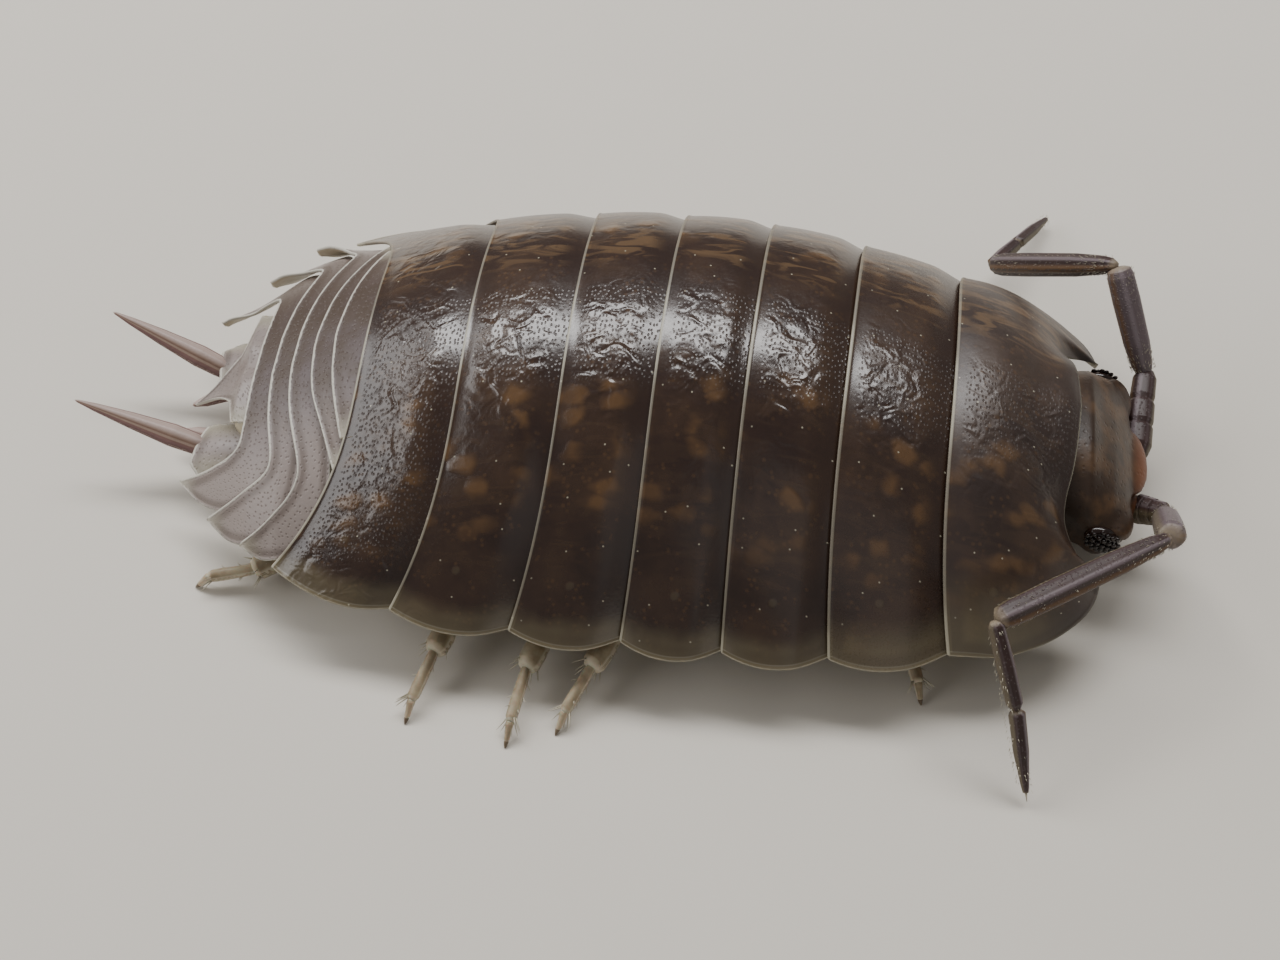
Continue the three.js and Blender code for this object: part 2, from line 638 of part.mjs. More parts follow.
function uropodBase(side) {
  const d = UROPOD_BASE;
  const halfway = mix(d.inner, d.outer, 0.5);
  const rings = d.along.map((u) => {
    const shrink = u === 0 ? d.frontBevel : 0;
    const x = (y) => mix(d.front, d.rear - d.slant * (y - d.inner), u);
    const plan = [
      [d.inner + shrink, d.bottom + d.innerBevel + shrink],
      [halfway, d.bottom + shrink / 2],
      [d.outer - shrink, d.bottom + d.sideBevel],
      [d.outer - shrink, d.top - d.sideBevel - shrink / 2],
      [halfway, d.top - shrink / 2],
      [d.inner + shrink, d.top - d.innerBevel - shrink],
    ];
    return plan.map(([y, z]) => vec(x(y), y * side, z));
  });
  const inner = UROPOD_INNER;
  const start = vec(inner.root[0], inner.root[1] * side, inner.root[2]);
  const end = vec(inner.tip[0], inner.tip[1] * side, inner.tip[2]);
  const middle = start.clone().lerp(end, 0.55);
  const spike = rod([start, middle, end], [inner.radius, inner.radius, inner.point], { sides: 6 });
  return toGeometry(join([loft(rings), spike]));
}

function uropodSpear(name) {
  const side = SIDES[name];
  const d = UROPOD_SPEAR;
  const root = vec(d.root[0], d.root[1] * side, d.root[2]);
  const tip = vec(...SPEAR_TIPS[name]);
  const points = SPEAR_SHAPE.map(([u]) => root.clone().lerp(tip, u));
  const radii = SPEAR_SHAPE.map(([, share]) => share * d.wide);
  return rod(points, radii, { sides: 8, flat: d.high / d.wide, startNormal: vec(1, 0, 0) });
}

// Gill plates

function gills(side) {
  const d = GILLS;
  const pitch = (d.front - d.rear) / d.count;
  const plates = [];
  for (let i = 0; i < d.count; i += 1) {
    const front = d.front - i * pitch;
    const rear = Math.max(front - pitch * d.overlap, d.last);
    const outer = d.outer - d.narrowing * i;
    const outline = [
      [front, d.inner],
      [front, outer * 0.9],
      [mix(front, rear, 0.4), outer],
      [mix(front, rear, 0.85), outer * 0.72],
      [rear, d.inner + d.point],
      [rear + d.slant, d.inner],
    ];
    const layer = (height, drop) => outline.map(([x, y]) => (
      vec(x, y * side, height - drop * ((front - x) / pitch))));
    plates.push(loft([layer(d.top - d.thick, d.drop), layer(d.top, 0)]));
  }
  return toGeometry(join(plates));
}

// Head

function headRing({ x, half, top, bottom }) {
  const round = HEAD_ROUNDNESS;
  return Array.from({ length: HEAD_FACETS }, (_, j) => {
    const angle = (2 * Math.PI * (j + 0.5)) / HEAD_FACETS;
    const c = Math.cos(angle);
    const s = Math.sin(angle);
    const height = s > 0 ? top - HEAD_MIDDLE_Z : HEAD_MIDDLE_Z - bottom;
    const y = half * Math.sign(c) * Math.abs(c) ** (s > 0 ? round.top : round.bottom);
    const rise = height * Math.sign(s) * Math.abs(s) ** round.rise;
    const lean = FACE_LEAN * smooth((x - HEAD[0].x) / (HEAD[4].x - HEAD[0].x));
    return vec(x + lean * Math.min(rise, FACE_LEAN_TOP), y, HEAD_MIDDLE_Z + rise);
  });
}

function seatCut(side) {
  const { long, deep, high } = EYE_NOTCH;
  const box = new THREE.BoxGeometry(long, deep, high);
  box.rotateY(EYE.tilt);
  box.translate(EYE.x, (EYE_SEAT + deep / 2) * side, EYE.z);
  return toSolid(box);
}

function head() {
  const lobe = (d, side) => ellipsoid([d.x, (d.y ?? 0) * side, d.z], [d.reach, d.half, d.thick], d.tilt);
  const knob = (d, side) => ellipsoid([d.x, (d.y ?? 0) * side, d.z], [d.long, d.wide, d.high]);
  const pairs = [-1, 1].flatMap((side) => [lobe(SIDE_LOBE, side), knob(JAW, side), knob(JAW_PALP, side)]);
  let whole = join([loft(HEAD.map(headRing)), lobe(BROW, 1), knob(LIP_PIECE, 1), ...pairs]);
  for (const side of [-1, 1]) whole = whole.subtract(seatCut(side));
  return toGeometry(whole);
}

function eye(side) {
  const d = EYE;
  const seat = (EYE_SEAT + GAP) * side;
  const ball = toSolid(ellipsoid([d.x, seat, d.z], [d.long, d.deep, d.high], d.tilt));
  return toGeometry(ball.trimByPlane([0, side, 0], EYE_SEAT + GAP));
}

// Feelers

function feeler(name) {
  const joints = FEELER_JOINTS[name].map((joint) => vec(...joint));
  const way = (i) => joints[i + 1].clone().sub(joints[i]).normalize();
  const bisector = (i) => way(i - 1).add(way(i)).normalize();
  const clear = (i, direction) => {
    const normal = bisector(i);
    return (GAP / 2) / Math.abs(direction.dot(normal));
  };
  const piece = (i, radii, lead = 0) => {
    const direction = way(i);
    const start = joints[i].clone().addScaledVector(direction, lead || clear(i, direction));
    const end = joints[i + 1].clone().addScaledVector(direction, -clear(i + 1, direction));
    const points = [0, 0.1, 0.5, 0.9, 1].map((u) => start.clone().lerp(end, u));
    const [a, b] = radii;
    const sizes = [a * 0.86, a, mix(a, b, 0.5), b, b * 0.88];
    const startNormal = lead ? null : bisector(i);
    return rod(points, sizes, { startNormal, endNormal: bisector(i + 1) });
  };
  const whipWay = way(3);
  const whipStart = joints[3].clone().addScaledVector(whipWay, clear(3, whipWay));
  const notch = joints[4].clone();
  const tip = joints[5].clone();
  const [wide, middle, fine] = FEELER_RADII.whip;
  const first = rod(
    [whipStart, whipStart.clone().lerp(notch, 0.12), notch.clone().lerp(whipStart, 0.08), notch],
    [wide * 0.86, wide, wide, wide * 0.8],
    { startNormal: bisector(3) },
  );
  const second = rod(
    [notch.clone().lerp(whipStart, 0.06), notch.clone().lerp(tip, 0.12), notch.clone().lerp(tip, 0.7), tip],
    [middle * 0.78, middle, middle * 0.8, fine],
  );
  const base = rod(
    [0, 0.35, 0.7, 1].map((u) => {
      const end = joints[1].clone().addScaledVector(way(0), -clear(1, way(0)));
      return joints[0].clone().lerp(end, u);
    }),
    [0.8, 1, 0.92, 0.85].map((r) => r * FEELER_RADII.base),
    { endNormal: bisector(1) },
  );
  return {
    base,
    fourth: piece(1, FEELER_RADII.fourth),
    fifth: piece(2, FEELER_RADII.fifth),
    flagellum: toGeometry(join([first, second])),
  };
}

// Legs: a thigh from the hip in to the knee, then four articles out to a small flat foot

function leg(side, { hip, knee, shin, foot }) {
  const r = LEG_RADII;
  const at = ([x, y], z) => vec(x, y * side, z);
  const hipPoint = at(hip, HIP_Z);
  const kneePoint = at(knee, KNEE_Z);
  const shinPoint = vec(shin[0], shin[1] * side, shin[2]);
  const upper = kneePoint.clone().lerp(shinPoint, UPPER_SHARE);
  upper.z = mix(KNEE_Z, shin[2], UPPER_SHARE);
  const sole = at(foot, 0);
  const ankle = shinPoint.clone().lerp(sole, ANKLE_SHARE);
  ankle.z = ANKLE_Z;
  const points = [kneePoint.clone().lerp(upper, -0.12)];
  const radii = [r.foreleg * 0.6];
  const stretch = (start, end, slim, wide) => {
    points.push(start.clone().lerp(end, 0.08), start.clone().lerp(end, 0.86));
    radii.push(slim, wide);
  };
  stretch(kneePoint, upper, r.foreleg * 0.85, r.foreleg);
  stretch(upper, shinPoint, r.shin * 0.9, r.foreleg);
  stretch(shinPoint, ankle, r.foot * 0.9, r.foot);
  points.push(ankle.clone().lerp(sole, 0.2), sole);
  radii.push(r.foot * 0.88, r.sole);
  return toGeometry(join([
    article(hipPoint, kneePoint, r.thigh * 1.1, r.thigh),
    rod(points, radii, { sides: 6, endNormal: UP }),
  ]));
}

// Assembly

const body = new THREE.Group();

function add(name, geometry, finish) {
  const bent = bend(geometry);
  bent.computeVertexNormals();
  const mesh = new THREE.Mesh(bent, FINISH[finish]);
  mesh.name = name;
  body.add(mesh);
}

PLATES.forEach((_, i) => add(`trunk_plate_${i + 1}`, trunkPlate(i), 'shell'));
add('tail_rings', tail(), 'tail');
add('telson', telson(), 'tail');
add('head', head(), 'face');
for (const [name, side] of Object.entries(SIDES)) {
  add(`eye_${name}`, eye(side), 'eye');
  add(`gills_${name}`, gills(side), 'gill');
  add(`uropod_${name}_base`, uropodBase(side), 'tail');
  add(`uropod_${name}_spear`, uropodSpear(name), 'spear');
  for (const [piece, geometry] of Object.entries(feeler(name))) {
    add(`antenna_${name}_${piece}`, geometry, 'feeler');
  }
  LEGS[name].forEach((pose, i) => add(`leg_${name}_${i + 1}`, leg(side, pose), 'limb'));
}

// The origin is on the floor under the middle of the whole outline.

const outline = new THREE.Box3().setFromObject(body);
const middle = outline.getCenter(vec(0, 0, 0));
body.position.set(-middle.x, -middle.y, -outline.min.z);

const group = new THREE.Group();
group.add(body);

export default group;
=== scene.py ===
"""The looks of a life-size woodlouse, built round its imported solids.

Everything is modelled on a straight body in millimetres, head towards +X, and then bent
and brought to metres where the solids are.
"""

import math

import bpy
import numpy as np
from mathutils import Matrix, Vector


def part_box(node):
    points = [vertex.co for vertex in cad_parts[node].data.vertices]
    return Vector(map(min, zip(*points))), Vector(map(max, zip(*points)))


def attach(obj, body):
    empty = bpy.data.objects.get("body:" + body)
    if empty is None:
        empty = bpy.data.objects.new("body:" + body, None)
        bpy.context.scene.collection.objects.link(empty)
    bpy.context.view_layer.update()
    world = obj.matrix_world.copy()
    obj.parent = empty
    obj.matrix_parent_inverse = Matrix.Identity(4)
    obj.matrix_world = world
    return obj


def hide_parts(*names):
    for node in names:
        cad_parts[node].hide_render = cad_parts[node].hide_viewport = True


bl_info = {
    "name": "Woodlouse",
    "version": (1, 0, 0),
    "blender": (4, 5, 0),
    "location": "3D View > Sidebar > Woodlouse",
    "description": "Shell plates, head, feelers, legs and tail of a life-size woodlouse",
    "category": "Add Mesh",
}

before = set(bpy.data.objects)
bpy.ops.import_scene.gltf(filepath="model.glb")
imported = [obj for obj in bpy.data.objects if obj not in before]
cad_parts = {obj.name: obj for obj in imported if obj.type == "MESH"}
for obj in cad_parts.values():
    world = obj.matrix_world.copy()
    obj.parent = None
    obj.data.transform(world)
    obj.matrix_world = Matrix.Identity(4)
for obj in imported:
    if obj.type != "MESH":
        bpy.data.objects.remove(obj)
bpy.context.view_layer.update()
MM = 0.001
MERGE = 1e-4  # corners closer than this, in millimetres, become one


def rows(keys, *values):
    """A table of rows, each a dict of its named values."""
    return [dict(zip(keys.split(), row)) for row in values]


# The curve of the body: it bends to the animal's right behind the third plate

BEND_START = 3.0
BEND_RATE = 0.010
UNBEND_START = -5.5
UNBEND_RATE = 0.004

# Trunk plates, head to tail: place of the rear edge, how far it is drawn back at the
# side, half width, height at the crest and height at the side

TRUNK = rows(
    "rear sweep half crest edge",
    (5.50, -0.45, 4.69, 4.15, 1.35),
    (3.53, -0.27, 5.10, 4.78, 1.35),
    (1.75, -0.03, 5.25, 5.21, 1.35),
    (0.08, 0.29, 5.27, 5.28, 1.35),
    (-1.65, 0.78, 5.28, 5.08, 1.38),
    (-3.65, 1.21, 5.06, 4.69, 1.44),
    (-5.78, 1.55, 4.36, 3.95, 1.60),
)
SWEEP_POWER = 4.2
VAULT_POWER = 2.4
SIDE_BULGE = 0.22
SIDE_DROOP = 0.09
FLARE_POWER = 8
SINK = 0.1         # how far a plate's front lies under the rim ahead of it
RISE_SHARE = 0.35  # share of a plate's length over which it comes up again
TUCK = 0.45        # share of a plate's length hidden under the one ahead
TUCK_SINK = 0.16   # how much further down the hidden part lies
HIDDEN = 7         # columns of points under the plate ahead
DULL = {0: 1.0, 1: 0.3}  # how much duller the first plates are than the others
CAMBER = 0.05      # how far a plate arches from front to rear
BEAD = 0.014       # height of the raised line along each rim
BEAD_WIDTH = 0.035
RIM_BLEND = 0.5    # distance from a rim over which a plate thins
EDGE_ROUND = 0.6   # share of a rim's thickness over which a side edge is rounded
LIP_TURNS = np.radians((30, 60, 90, 120, 150))  # steps round the rear edge
CROWD = 0.8        # how far a plate's rows crowd towards its sides
FINE_FRONT = 0.12  # shares of a plate's length with the finest columns
FINE_REAR = 0.88

# The belly: half width and height of the top by place

BELLY = rows(
    "x half",
    (-8.9, 0.9), (-8.2, 1.8), (-7.2, 2.7), (-5.78, 3.6), (-3.65, 4.3),
    (0.08, 4.6), (3.53, 4.45), (5.5, 4.1), (7.0, 3.0), (8.0, 1.5),
)
BELLY_TOP = rows("x crest", (-3.65, 4.69), (0.08, 5.28), (1.75, 5.21), (3.53, 4.78), (5.5, 4.15), (8.0, 3.0))
BELLY_Z = 2.0
BELLY_HALF = 0.64     # share of the half width that is flat below
BELLY_SIDE_Z = 1.5
BELLY_EAVES = 1.45    # where the top meets the sides
BELLY_END = 3.0       # length over which the tail's end comes down
BELLY_END_Z = 1.35
BELLY_GAP = 0.45      # room between the belly and the plates
BELLY_ROUND = (0.9, 0.3)  # how round its section is, across and up: 1 is an ellipse
FOLD = 0.16           # width and depth of the folds between the segments

# The collar: front edge of the first plate, from the middle to the side

COLLAR = (
    (7.93, 0.0), (7.86, 1.2), (7.78, 1.75), (7.84, 2.12), (8.16, 2.46),
    (8.58, 2.66), (8.6, 2.95), (8.34, 3.45), (7.76, 4.02), (6.96, 4.5),
)
COLLAR_CREST = 3.25
COLLAR_EDGE = 1.2
COLLAR_HALF = 2.85
COLLAR_FALL = 2.3
COLLAR_BULGE = 0.42
COLLAR_BLUR = 9     # rows over which the collar's corners are eased behind its rim
COLLAR_EASE = 0.4   # share of the first plate's length over which they are eased

# Tail rings: front and rear edge of each, from the middle to the side

TAIL = rows(
    "front rear",
    (((-5.3, 0), (-5.3, 1.2), (-5.3, 2.5)),
     ((-6.55, 0), (-6.38, 1.2), (-6.0, 2.5))),
    (((-6.1, 0), (-6.0, 1.5), (-5.8, 2.6), (-5.7, 3.0)),
     ((-7.03, 0), (-6.85, 1.2), (-6.44, 2.2), (-6.1, 3.0))),
    (((-6.6, 0), (-6.5, 1.5), (-6.2, 2.8), (-6.4, 3.85), (-7.15, 4.18), (-7.72, 4.08), (-8.08, 3.9)),
     ((-7.5, 0), (-7.35, 1.4), (-6.92, 2.6), (-6.9, 3.05), (-7.2, 3.42), (-7.65, 3.7), (-8.1, 3.86))),
    (((-7.1, 0), (-7.0, 1.5), (-6.9, 2.8), (-7.4, 3.85), (-8.1, 3.78), (-8.62, 3.46), (-9.0, 3.14)),
     ((-7.95, 0), (-7.8, 1.5), (-7.52, 2.5), (-7.7, 2.8), (-8.15, 2.98), (-8.6, 3.05), (-9.02, 3.1))),
    (((-7.55, 0), (-7.4, 1.6), (-7.4, 2.6), (-8.2, 3.1), (-8.9, 2.9), (-9.48, 2.48), (-9.88, 2.1)),
     ((-8.4, 0), (-8.34, 1.6), (-8.4, 2.02), (-8.72, 2.15), (-9.2, 2.14), (-9.6, 2.08), (-9.9, 2.04))),
)
TAIL_STEP = 0.2     # how far a ring's front lies under the rim ahead of it
TAIL_BLUR = 3       # rows over which a ring's corners are eased
FLAP_LIFT = 0.3     # how far the left flaps stand up, as the tail is rolled a little
FLAP_ROOT_LIFT = 0.35  # share of that at a flap's front
FLAP_START = 0.6    # share of the way to the side where a flap begins to stand up
FLAP_SPAN = 0.3
LEVEL_START = 0.8   # and where the step under the rim ahead fades out
LEVEL_SPAN = 0.2

# The back over the tail: half width, height at the crest and height at the side by place

BACK = rows(
    "x half crest edge",
    (-10.1, 2.0, 1.1, 1.05),
    (-9.84, 2.6, 1.2, 1.08),
    (-8.94, 3.3, 2.1, 1.24),
    (-8.4, 3.7, 2.5, 1.4),
    (-8.04, 3.95, 2.7, 1.56),
    (-7.33, 4.36, 3.07, 1.6),
    (-6.22, 4.5, 3.72, 1.55),
    (-5.78, 4.6, 3.95, 1.5),
    (-3.65, 5.06, 4.69, 1.44),
    (8.0, 2.6, 3.0, 1.35),
)

# The tail's end plate, the tail feet and the gill plates

TELSON = dict(front=-8.15, tip=-10.06, half=1.45, neck=-8.97, neck_half=0.62, corner=-8.66,
              shoulder=-8.82, shoulder_half=0.97, point_half=0.2, front_z=2.46, neck_z=2.02,
              tip_z=1.2, fall=0.07, groove=0.12, groove_half=0.28, groove_rise=0.6)

UROPOD_BASE = dict(front=-8.6, rear=-9.66, inner=0.56, outer=1.8, top=1.25, bottom=0.62,
                   rows=41, columns=25, slant=0.16, corner=0.22, crown=0.16, droop=0.12, rim=0.12)
SPEAR_ROOT = (-9.5, 1.04, 0.86)
SPEAR_TIPS = dict(right=(-12.15, -0.76, 2.08), left=(-11.92, 1.58, 2.2))
SPEAR_RADIUS = 0.25
INNER_ROOT = (-9.2, 0.7, 0.8)
INNER_TIP = (-10.35, 0.34, 0.62)
INNER_RADIUS = 0.1
SPEAR_FLAT = 0.8

GILLS = dict(count=5, front=-5.75, rear=-8.35, inner=0.12, outer=1.78, top=0.98, thick=0.16,
             narrowing=0.16, overlap=1.6, sinking=0.1, rim=0.08)

# The head: half width, top and bottom by place

HEAD = rows(
    "x half top bottom",
    (7.5, 1.7, 3.1, 1.2),
    (8.22, 1.92, 2.98, 1.05),
    (8.42, 2.0, 2.72, 0.82),
    (8.72, 2.04, 2.42, 0.68),
    (8.96, 1.88, 2.12, 0.7),
    (9.08, 1.62, 1.94, 0.85),
    (9.14, 1.2, 1.8, 1.05),
)
HEAD_MIDDLE_Z = 1.5
FACE_LEAN = 0.75      # how far the lower face is drawn back
FACE_START = 8.22
FACE_END = 9.08
FACE_FLAT = 0.05      # height over the middle up to which the face leans
HEAD_ROUND = (0.84, 0.85)  # how round its section is, across and up: 1 is an ellipse

# Rounded forms that are fused with the head: centre, radii and tilt

BROW = ((9.16, 0, 1.72), (0.42, 0.8, 0.15), 0.5)
LIP = ((9.12, 0, 1.06), (0.2, 0.5, 0.26), 0)
PAIRED_FORMS = dict(
    lobe=((8.9, 1.46, 1.84), (0.36, 0.52, 0.15), 0.55),
    socket=((9.18, 0.66, 1.2), (0.24, 0.34, 0.34), 0),
    jaw=((8.74, 0.5, 0.98), (0.42, 0.4, 0.5), 0),
    jaw_feeler=((8.45, 0.42, 0.82), (0.75, 0.34, 0.34), 0),
    cheek=((8.7, 1.2, 1.05), (0.4, 0.45, 0.45), 0),
)
HEAD_GRAIN = 0.05     # size of the cells in which the head's forms are fused

EYE = dict(x=8.61, y=1.92, z=1.74, long=0.4, deep=0.2, high=0.3, tilt=0.5)
EYE_CORE = (0.9, 0.85, 0.9)      # the dark core under the domes, as shares of the eye
EYE_ROWS = (4, 6, 7, 6, 4)       # domes in each row
EYE_PITCH = (3.6, 2.6)           # domes from the middle to the edge, along and up
DOME = (0.055, 0.03, 0.055)

# The feelers' joints from the face outwards

FEELER_JOINTS = dict(
    right=((9.4, -0.66, 1.12), (9.84, -0.98, 1.46), (9.64, -2.42, 2.72), (6.54, -4.82, 2.94),
           (7.16, -5.75, 1.55), (7.58, -6.72, 0.2)),
    left=((9.4, 0.66, 1.12), (9.54, 2.44, 1.52), (8.62, 3.7, 3.36), (6.4, 5.72, 1.04),
          (6.95, 6.72, 0.8), (7.72, 8.3, 0.2)),
)
ROOT_ARTICLES = ((0.0, 0.42, 0.3), (0.3, 0.72, 0.28), (0.6, 1.06, 0.25))  # from, to, radius
LONG_ARTICLES = dict(fourth=(0.235, 0.27, 0.8), fifth=(0.2, 0.235, 0.0))  # radii, paleness
LONG_GAP = 0.04
LONG_HAIRS = 520
WHIP_RADII = ((0.15, 0.17), (0.15, 0.14))
WHIP_HAIRS = dict(slim=0.15, wide=0.13, count=200)
WHIP_OVERLAP = 0.03
WHIP_TIP = 0.1        # length of the whip that its end bristle takes
TUFT = dict(root=0.12, length=0.2, radius=0.03)
HAIR_RADIUS = 0.007
HAIR_SPREAD = 0.55    # how far a hair stands off its article
RIDGES = dict(ridges=6, depth=0.06)

# The legs, head to tail: hip and inner knee, then outer knee and foot of each side

HIP_Z = 1.4
KNEE_Z = 0.85
ANKLE_Z = 0.34
HIPS = rows(
    "hip knee",
    ((6.5, 2.35), (6.9, 1.5)),
    ((4.5, 2.8), (4.9, 1.6)),
    ((2.6, 3.0), (2.9, 1.6)),
    ((0.85, 3.05), (0.95, 1.6)),
    ((-0.85, 3.05), (-0.75, 1.6)),
    ((-2.7, 2.95), (-2.75, 1.6)),
    ((-4.75, 2.7), (-4.9, 1.7)),
)
FEET = dict(
    right=rows(
        "shin foot",
        ((7.35, 2.55, 0.62), (7.55, 3.3)),
        ((5.2, 3.95, 0.58), (5.62, 5.05)),
        ((3.15, 3.5, 0.6), (3.4, 4.3)),
        ((-0.8, 5.4, 0.56), (-1.38, 6.65)),
        ((-2.1, 5.55, 0.56), (-2.34, 7.02)),
        ((-4.02, 5.36, 0.56), (-4.46, 6.7)),
        ((-8.1, 3.66, 0.42), (-9.42, 3.9)),
    ),
    left=rows(
        "shin foot",
        ((7.5, 2.6, 0.62), (7.95, 3.35)),
        ((5.0, 3.9, 0.58), (5.2, 4.95)),
        ((2.7, 4.2, 0.6), (2.75, 5.4)),
        ((-0.35, 5.1, 0.56), (-0.85, 6.35)),
        ((-2.2, 5.4, 0.56), (-2.85, 6.7)),
        ((-4.2, 5.2, 0.56), (-5.05, 6.45)),
        ((-7.6, 4.1, 0.45), (-8.75, 4.6)),
    ),
)
LEG_SHARES = dict(hip=-0.25, second=0.36, third=0.66, ankle=0.72, toe=0.7, claw=0.66)
LEG_RADII = ((0.3, 0.27), (0.2, 0.25), (0.19, 0.24), (0.15, 0.25), (0.11, 0.125), (0.085, 0.06))
LEG_FLAT = 1.15
CLAW_RADIUS = 0.05
CLAW_REST = 0.012     # height of a claw's tip over the floor
SPINE_RADIUS = 0.02

# Outlines of the rods: share of the length and share of the radius, first on the way up
# from the slim end and then on the way down from the wide one

OUTLINES = dict(
    root=(((0.03, 0.8), (0.3, 1)), ((0.8, 0.95), (0.98, 0.7))),
    long=(((0.004, 0.4), (0.03, 0.7), (0.1, 0.92)),
          ((0.3, 0.98), (0.7, 1.04), (0.92, 1), (0.975, 0.86), (0.995, 0.5))),
    whip=(((0.01, 0.6), (0.05, 1)), ((0.5, 1), (0.9, 0.9), (0.99, 0.4))),
    whip_end=(((0.01, 0.6), (0.05, 1)), ((0.5, 1), (0.9, 0.55), (0.99, 0.4))),
    leg=(((0.01, 0.5), (0.06, 0.85), (0.18, 1)), ((0.72, 1), (0.9, 0.96), (0.97, 0.7))),
    claw=(((0.02, 0.9), (0.3, 1)), ((0.7, 0.6), (0.97, 0.2))),
    spear=(((0.01, 0.64), (0.05, 0.84), (0.14, 0.94), (0.3, 1)), ((0.6, 0.7), (0.85, 0.36), (0.98, 0.12))),
    inner=(((0.02, 1.2), (0.3, 1.7)), ((0.75, 1.3), (0.97, 0.5))),
)
ROD_RINGS = 40      # rings of corners along a rod, besides those of its outline

# Lights and camera, in metres from the origin, degrees and millimetres from the body's origin

LIGHTS = rows(
    "name place size",
    ("soft_light", (-0.012, 0.065, 0.14), (0.19, 0.042)),
    ("tail_light", (-0.13, -0.004, 0.08), (0.18, 0.066)),
    ("fill_light", (0.06, -0.14, 0.09), (0.12, 0.12)),
)
SKY = dict(Color=(1.0, 0.97, 0.93, 1), Strength=0.2)
CAMERA_TURN = (12.6, 53.4, -3.3)   # azimuth, elevation and roll
CAMERA_AIM = (-0.14, -2.42, 2.5)
CAMERA_LENS = 42.53
FLOOR_SIZE = 1.2

SIDES = dict(right=-1, left=1)
UP = np.array((0.0, 0.0, 1.0))


def body_origin():
    """Where the straight body's origin lies on the floor, read from the eyes, in millimetres."""
    corners = [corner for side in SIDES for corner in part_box(f"eye_{side}")]
    middle = sum(corners, Vector()) / len(corners) / MM
    return Vector((middle.x - EYE["x"], middle.y, 0))


ORIGIN = body_origin()


def smooth(share):
    """Eases from 0 to 1."""
    s = np.clip(share, 0, 1)
    return s * s * (3 - 2 * s)


def mix(a, b, share):
    """Between a and b by share."""
    return a + (b - a) * share


def unit(vectors):
    """Vectors at length 1."""
    return vectors / np.maximum(np.linalg.norm(vectors, axis=-1, keepdims=True), 1e-12)


def look_up(table, x, key):
    """A column of a table of rows, read by x."""
    return np.interp(x, [row["x"] for row in table], [row[key] for row in table])


def along_edge(points, t):
    """Points of a smooth curve through plan points; t runs from 0 to 1."""
    p = np.array(points, float)
    p = np.vstack([2 * p[0] - p[1], p, 2 * p[-1] - p[-2]])
    spans = len(points) - 1
    place = np.clip(np.asarray(t, float), 0, 1) * spans
    i = np.minimum(place.astype(int), spans - 1)
    s = (place - i)[..., None]
    before, start, end, after = p[i], p[i + 1], p[i + 2], p[i + 3]
    leave = end - before
    arrive = after - start
    gap = end - start
    square = 3 * gap - leave - arrive / 2
    cube = (leave + arrive) / 2 - 2 * gap
    return start + s * leave / 2 + s**2 * square + s**3 * cube


def bent(points):
    """Points of the straight body in millimetres, on the bent body in metres."""
    x, y, z = points[..., 0], points[..., 1], points[..., 2]
    start = np.minimum(x - BEND_START, 0)
    end = np.minimum(x - UNBEND_START, 0)
    angle = BEND_RATE * start - UNBEND_RATE * end
    shift = (UNBEND_RATE * end**2 - BEND_RATE * start**2) / 2
    across = shift + y * np.cos(angle)
    return np.stack([x + y * np.sin(angle) + ORIGIN.x, across + ORIGIN.y, z], -1) * MM


def deselect():
    """Clears the selection, because every operator acts on all of it."""
    bpy.ops.object.select_all(action="DESELECT")


def choose(piece):
    """Selects one piece alone."""
    deselect()
    piece.select_set(True)
    bpy.context.view_layer.objects.active = piece


def weld(piece):
    """Merges a piece's doubled corners and turns its faces outwards."""
    choose(piece)
    bpy.ops.object.mode_set(mode="EDIT")
    bpy.ops.mesh.select_all(action="SELECT")
    bpy.ops.mesh.remove_doubles(threshold=MERGE)
    bpy.ops.mesh.normals_make_consistent(inside=False)
    bpy.ops.object.mode_set(mode="OBJECT")


def surface(name, points, **attributes):
    """A primitive grid with its corners set at points, rows by columns, and welded shut."""
    rows, columns = points.shape[:2]
    deselect()
    bpy.ops.mesh.primitive_grid_add(x_subdivisions=columns - 1, y_subdivisions=rows - 1, size=1)
    piece = bpy.context.object
    piece.name = name
    piece.data.name = name
    piece.data.vertices.foreach_set("co", points.reshape(-1))
    for key, values in attributes.items():
        layer = piece.data.attributes.new(key, "FLOAT", "POINT")
        layer.data.foreach_set("value", np.broadcast_to(values, points.shape[:2]).reshape(-1))
    weld(piece)
    return piece


def join(name, pieces):
    """Several pieces as one."""
    deselect()
    for piece in pieces:
        piece.select_set(True)
    bpy.context.view_layer.objects.active = pieces[0]
    bpy.ops.object.join()
    whole = bpy.context.object
    whole.name = name
    whole.data.name = name
    return whole


def finish(piece, kind, slot, *nodes):
    """Bends a piece into place, smooths and paints it, and hangs it on the frame."""
    mesh = piece.data
    points = np.empty(len(mesh.vertices) * 3)
    mesh.vertices.foreach_get("co", points)
    mesh.vertices.foreach_set("co", bent(points.reshape(-1, 3)).reshape(-1))
    mesh.update()
    choose(piece)
    bpy.ops.object.shade_smooth()
    mesh.materials.clear()
    mesh.materials.append(paint(kind))
    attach(piece, "root")
    if nodes:
        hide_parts(*nodes)
    return piece


def path_length(points, axis):
    """Distance walked along an axis of a table of points."""
    steps = np.linalg.norm(np.diff(points, axis=axis), axis=-1)
    start = np.zeros_like(np.take(steps, [0], axis=axis))
    return np.concatenate([start, np.cumsum(steps, axis=axis)], axis=axis)


def outward(points):
    """Outward direction at each point of a table whose rows run across and columns back."""
    back = np.gradient(points, axis=1)
    over = np.gradient(points, axis=0)
    normal = unit(np.cross(over, back))
    return np.where(normal[..., 2:].mean() < 0, -normal, normal)


def size(key):
    """One of the sizes that a user can change, in millimetres."""
    return getattr(bpy.context.scene.woodlouse_sizes, key) / MM


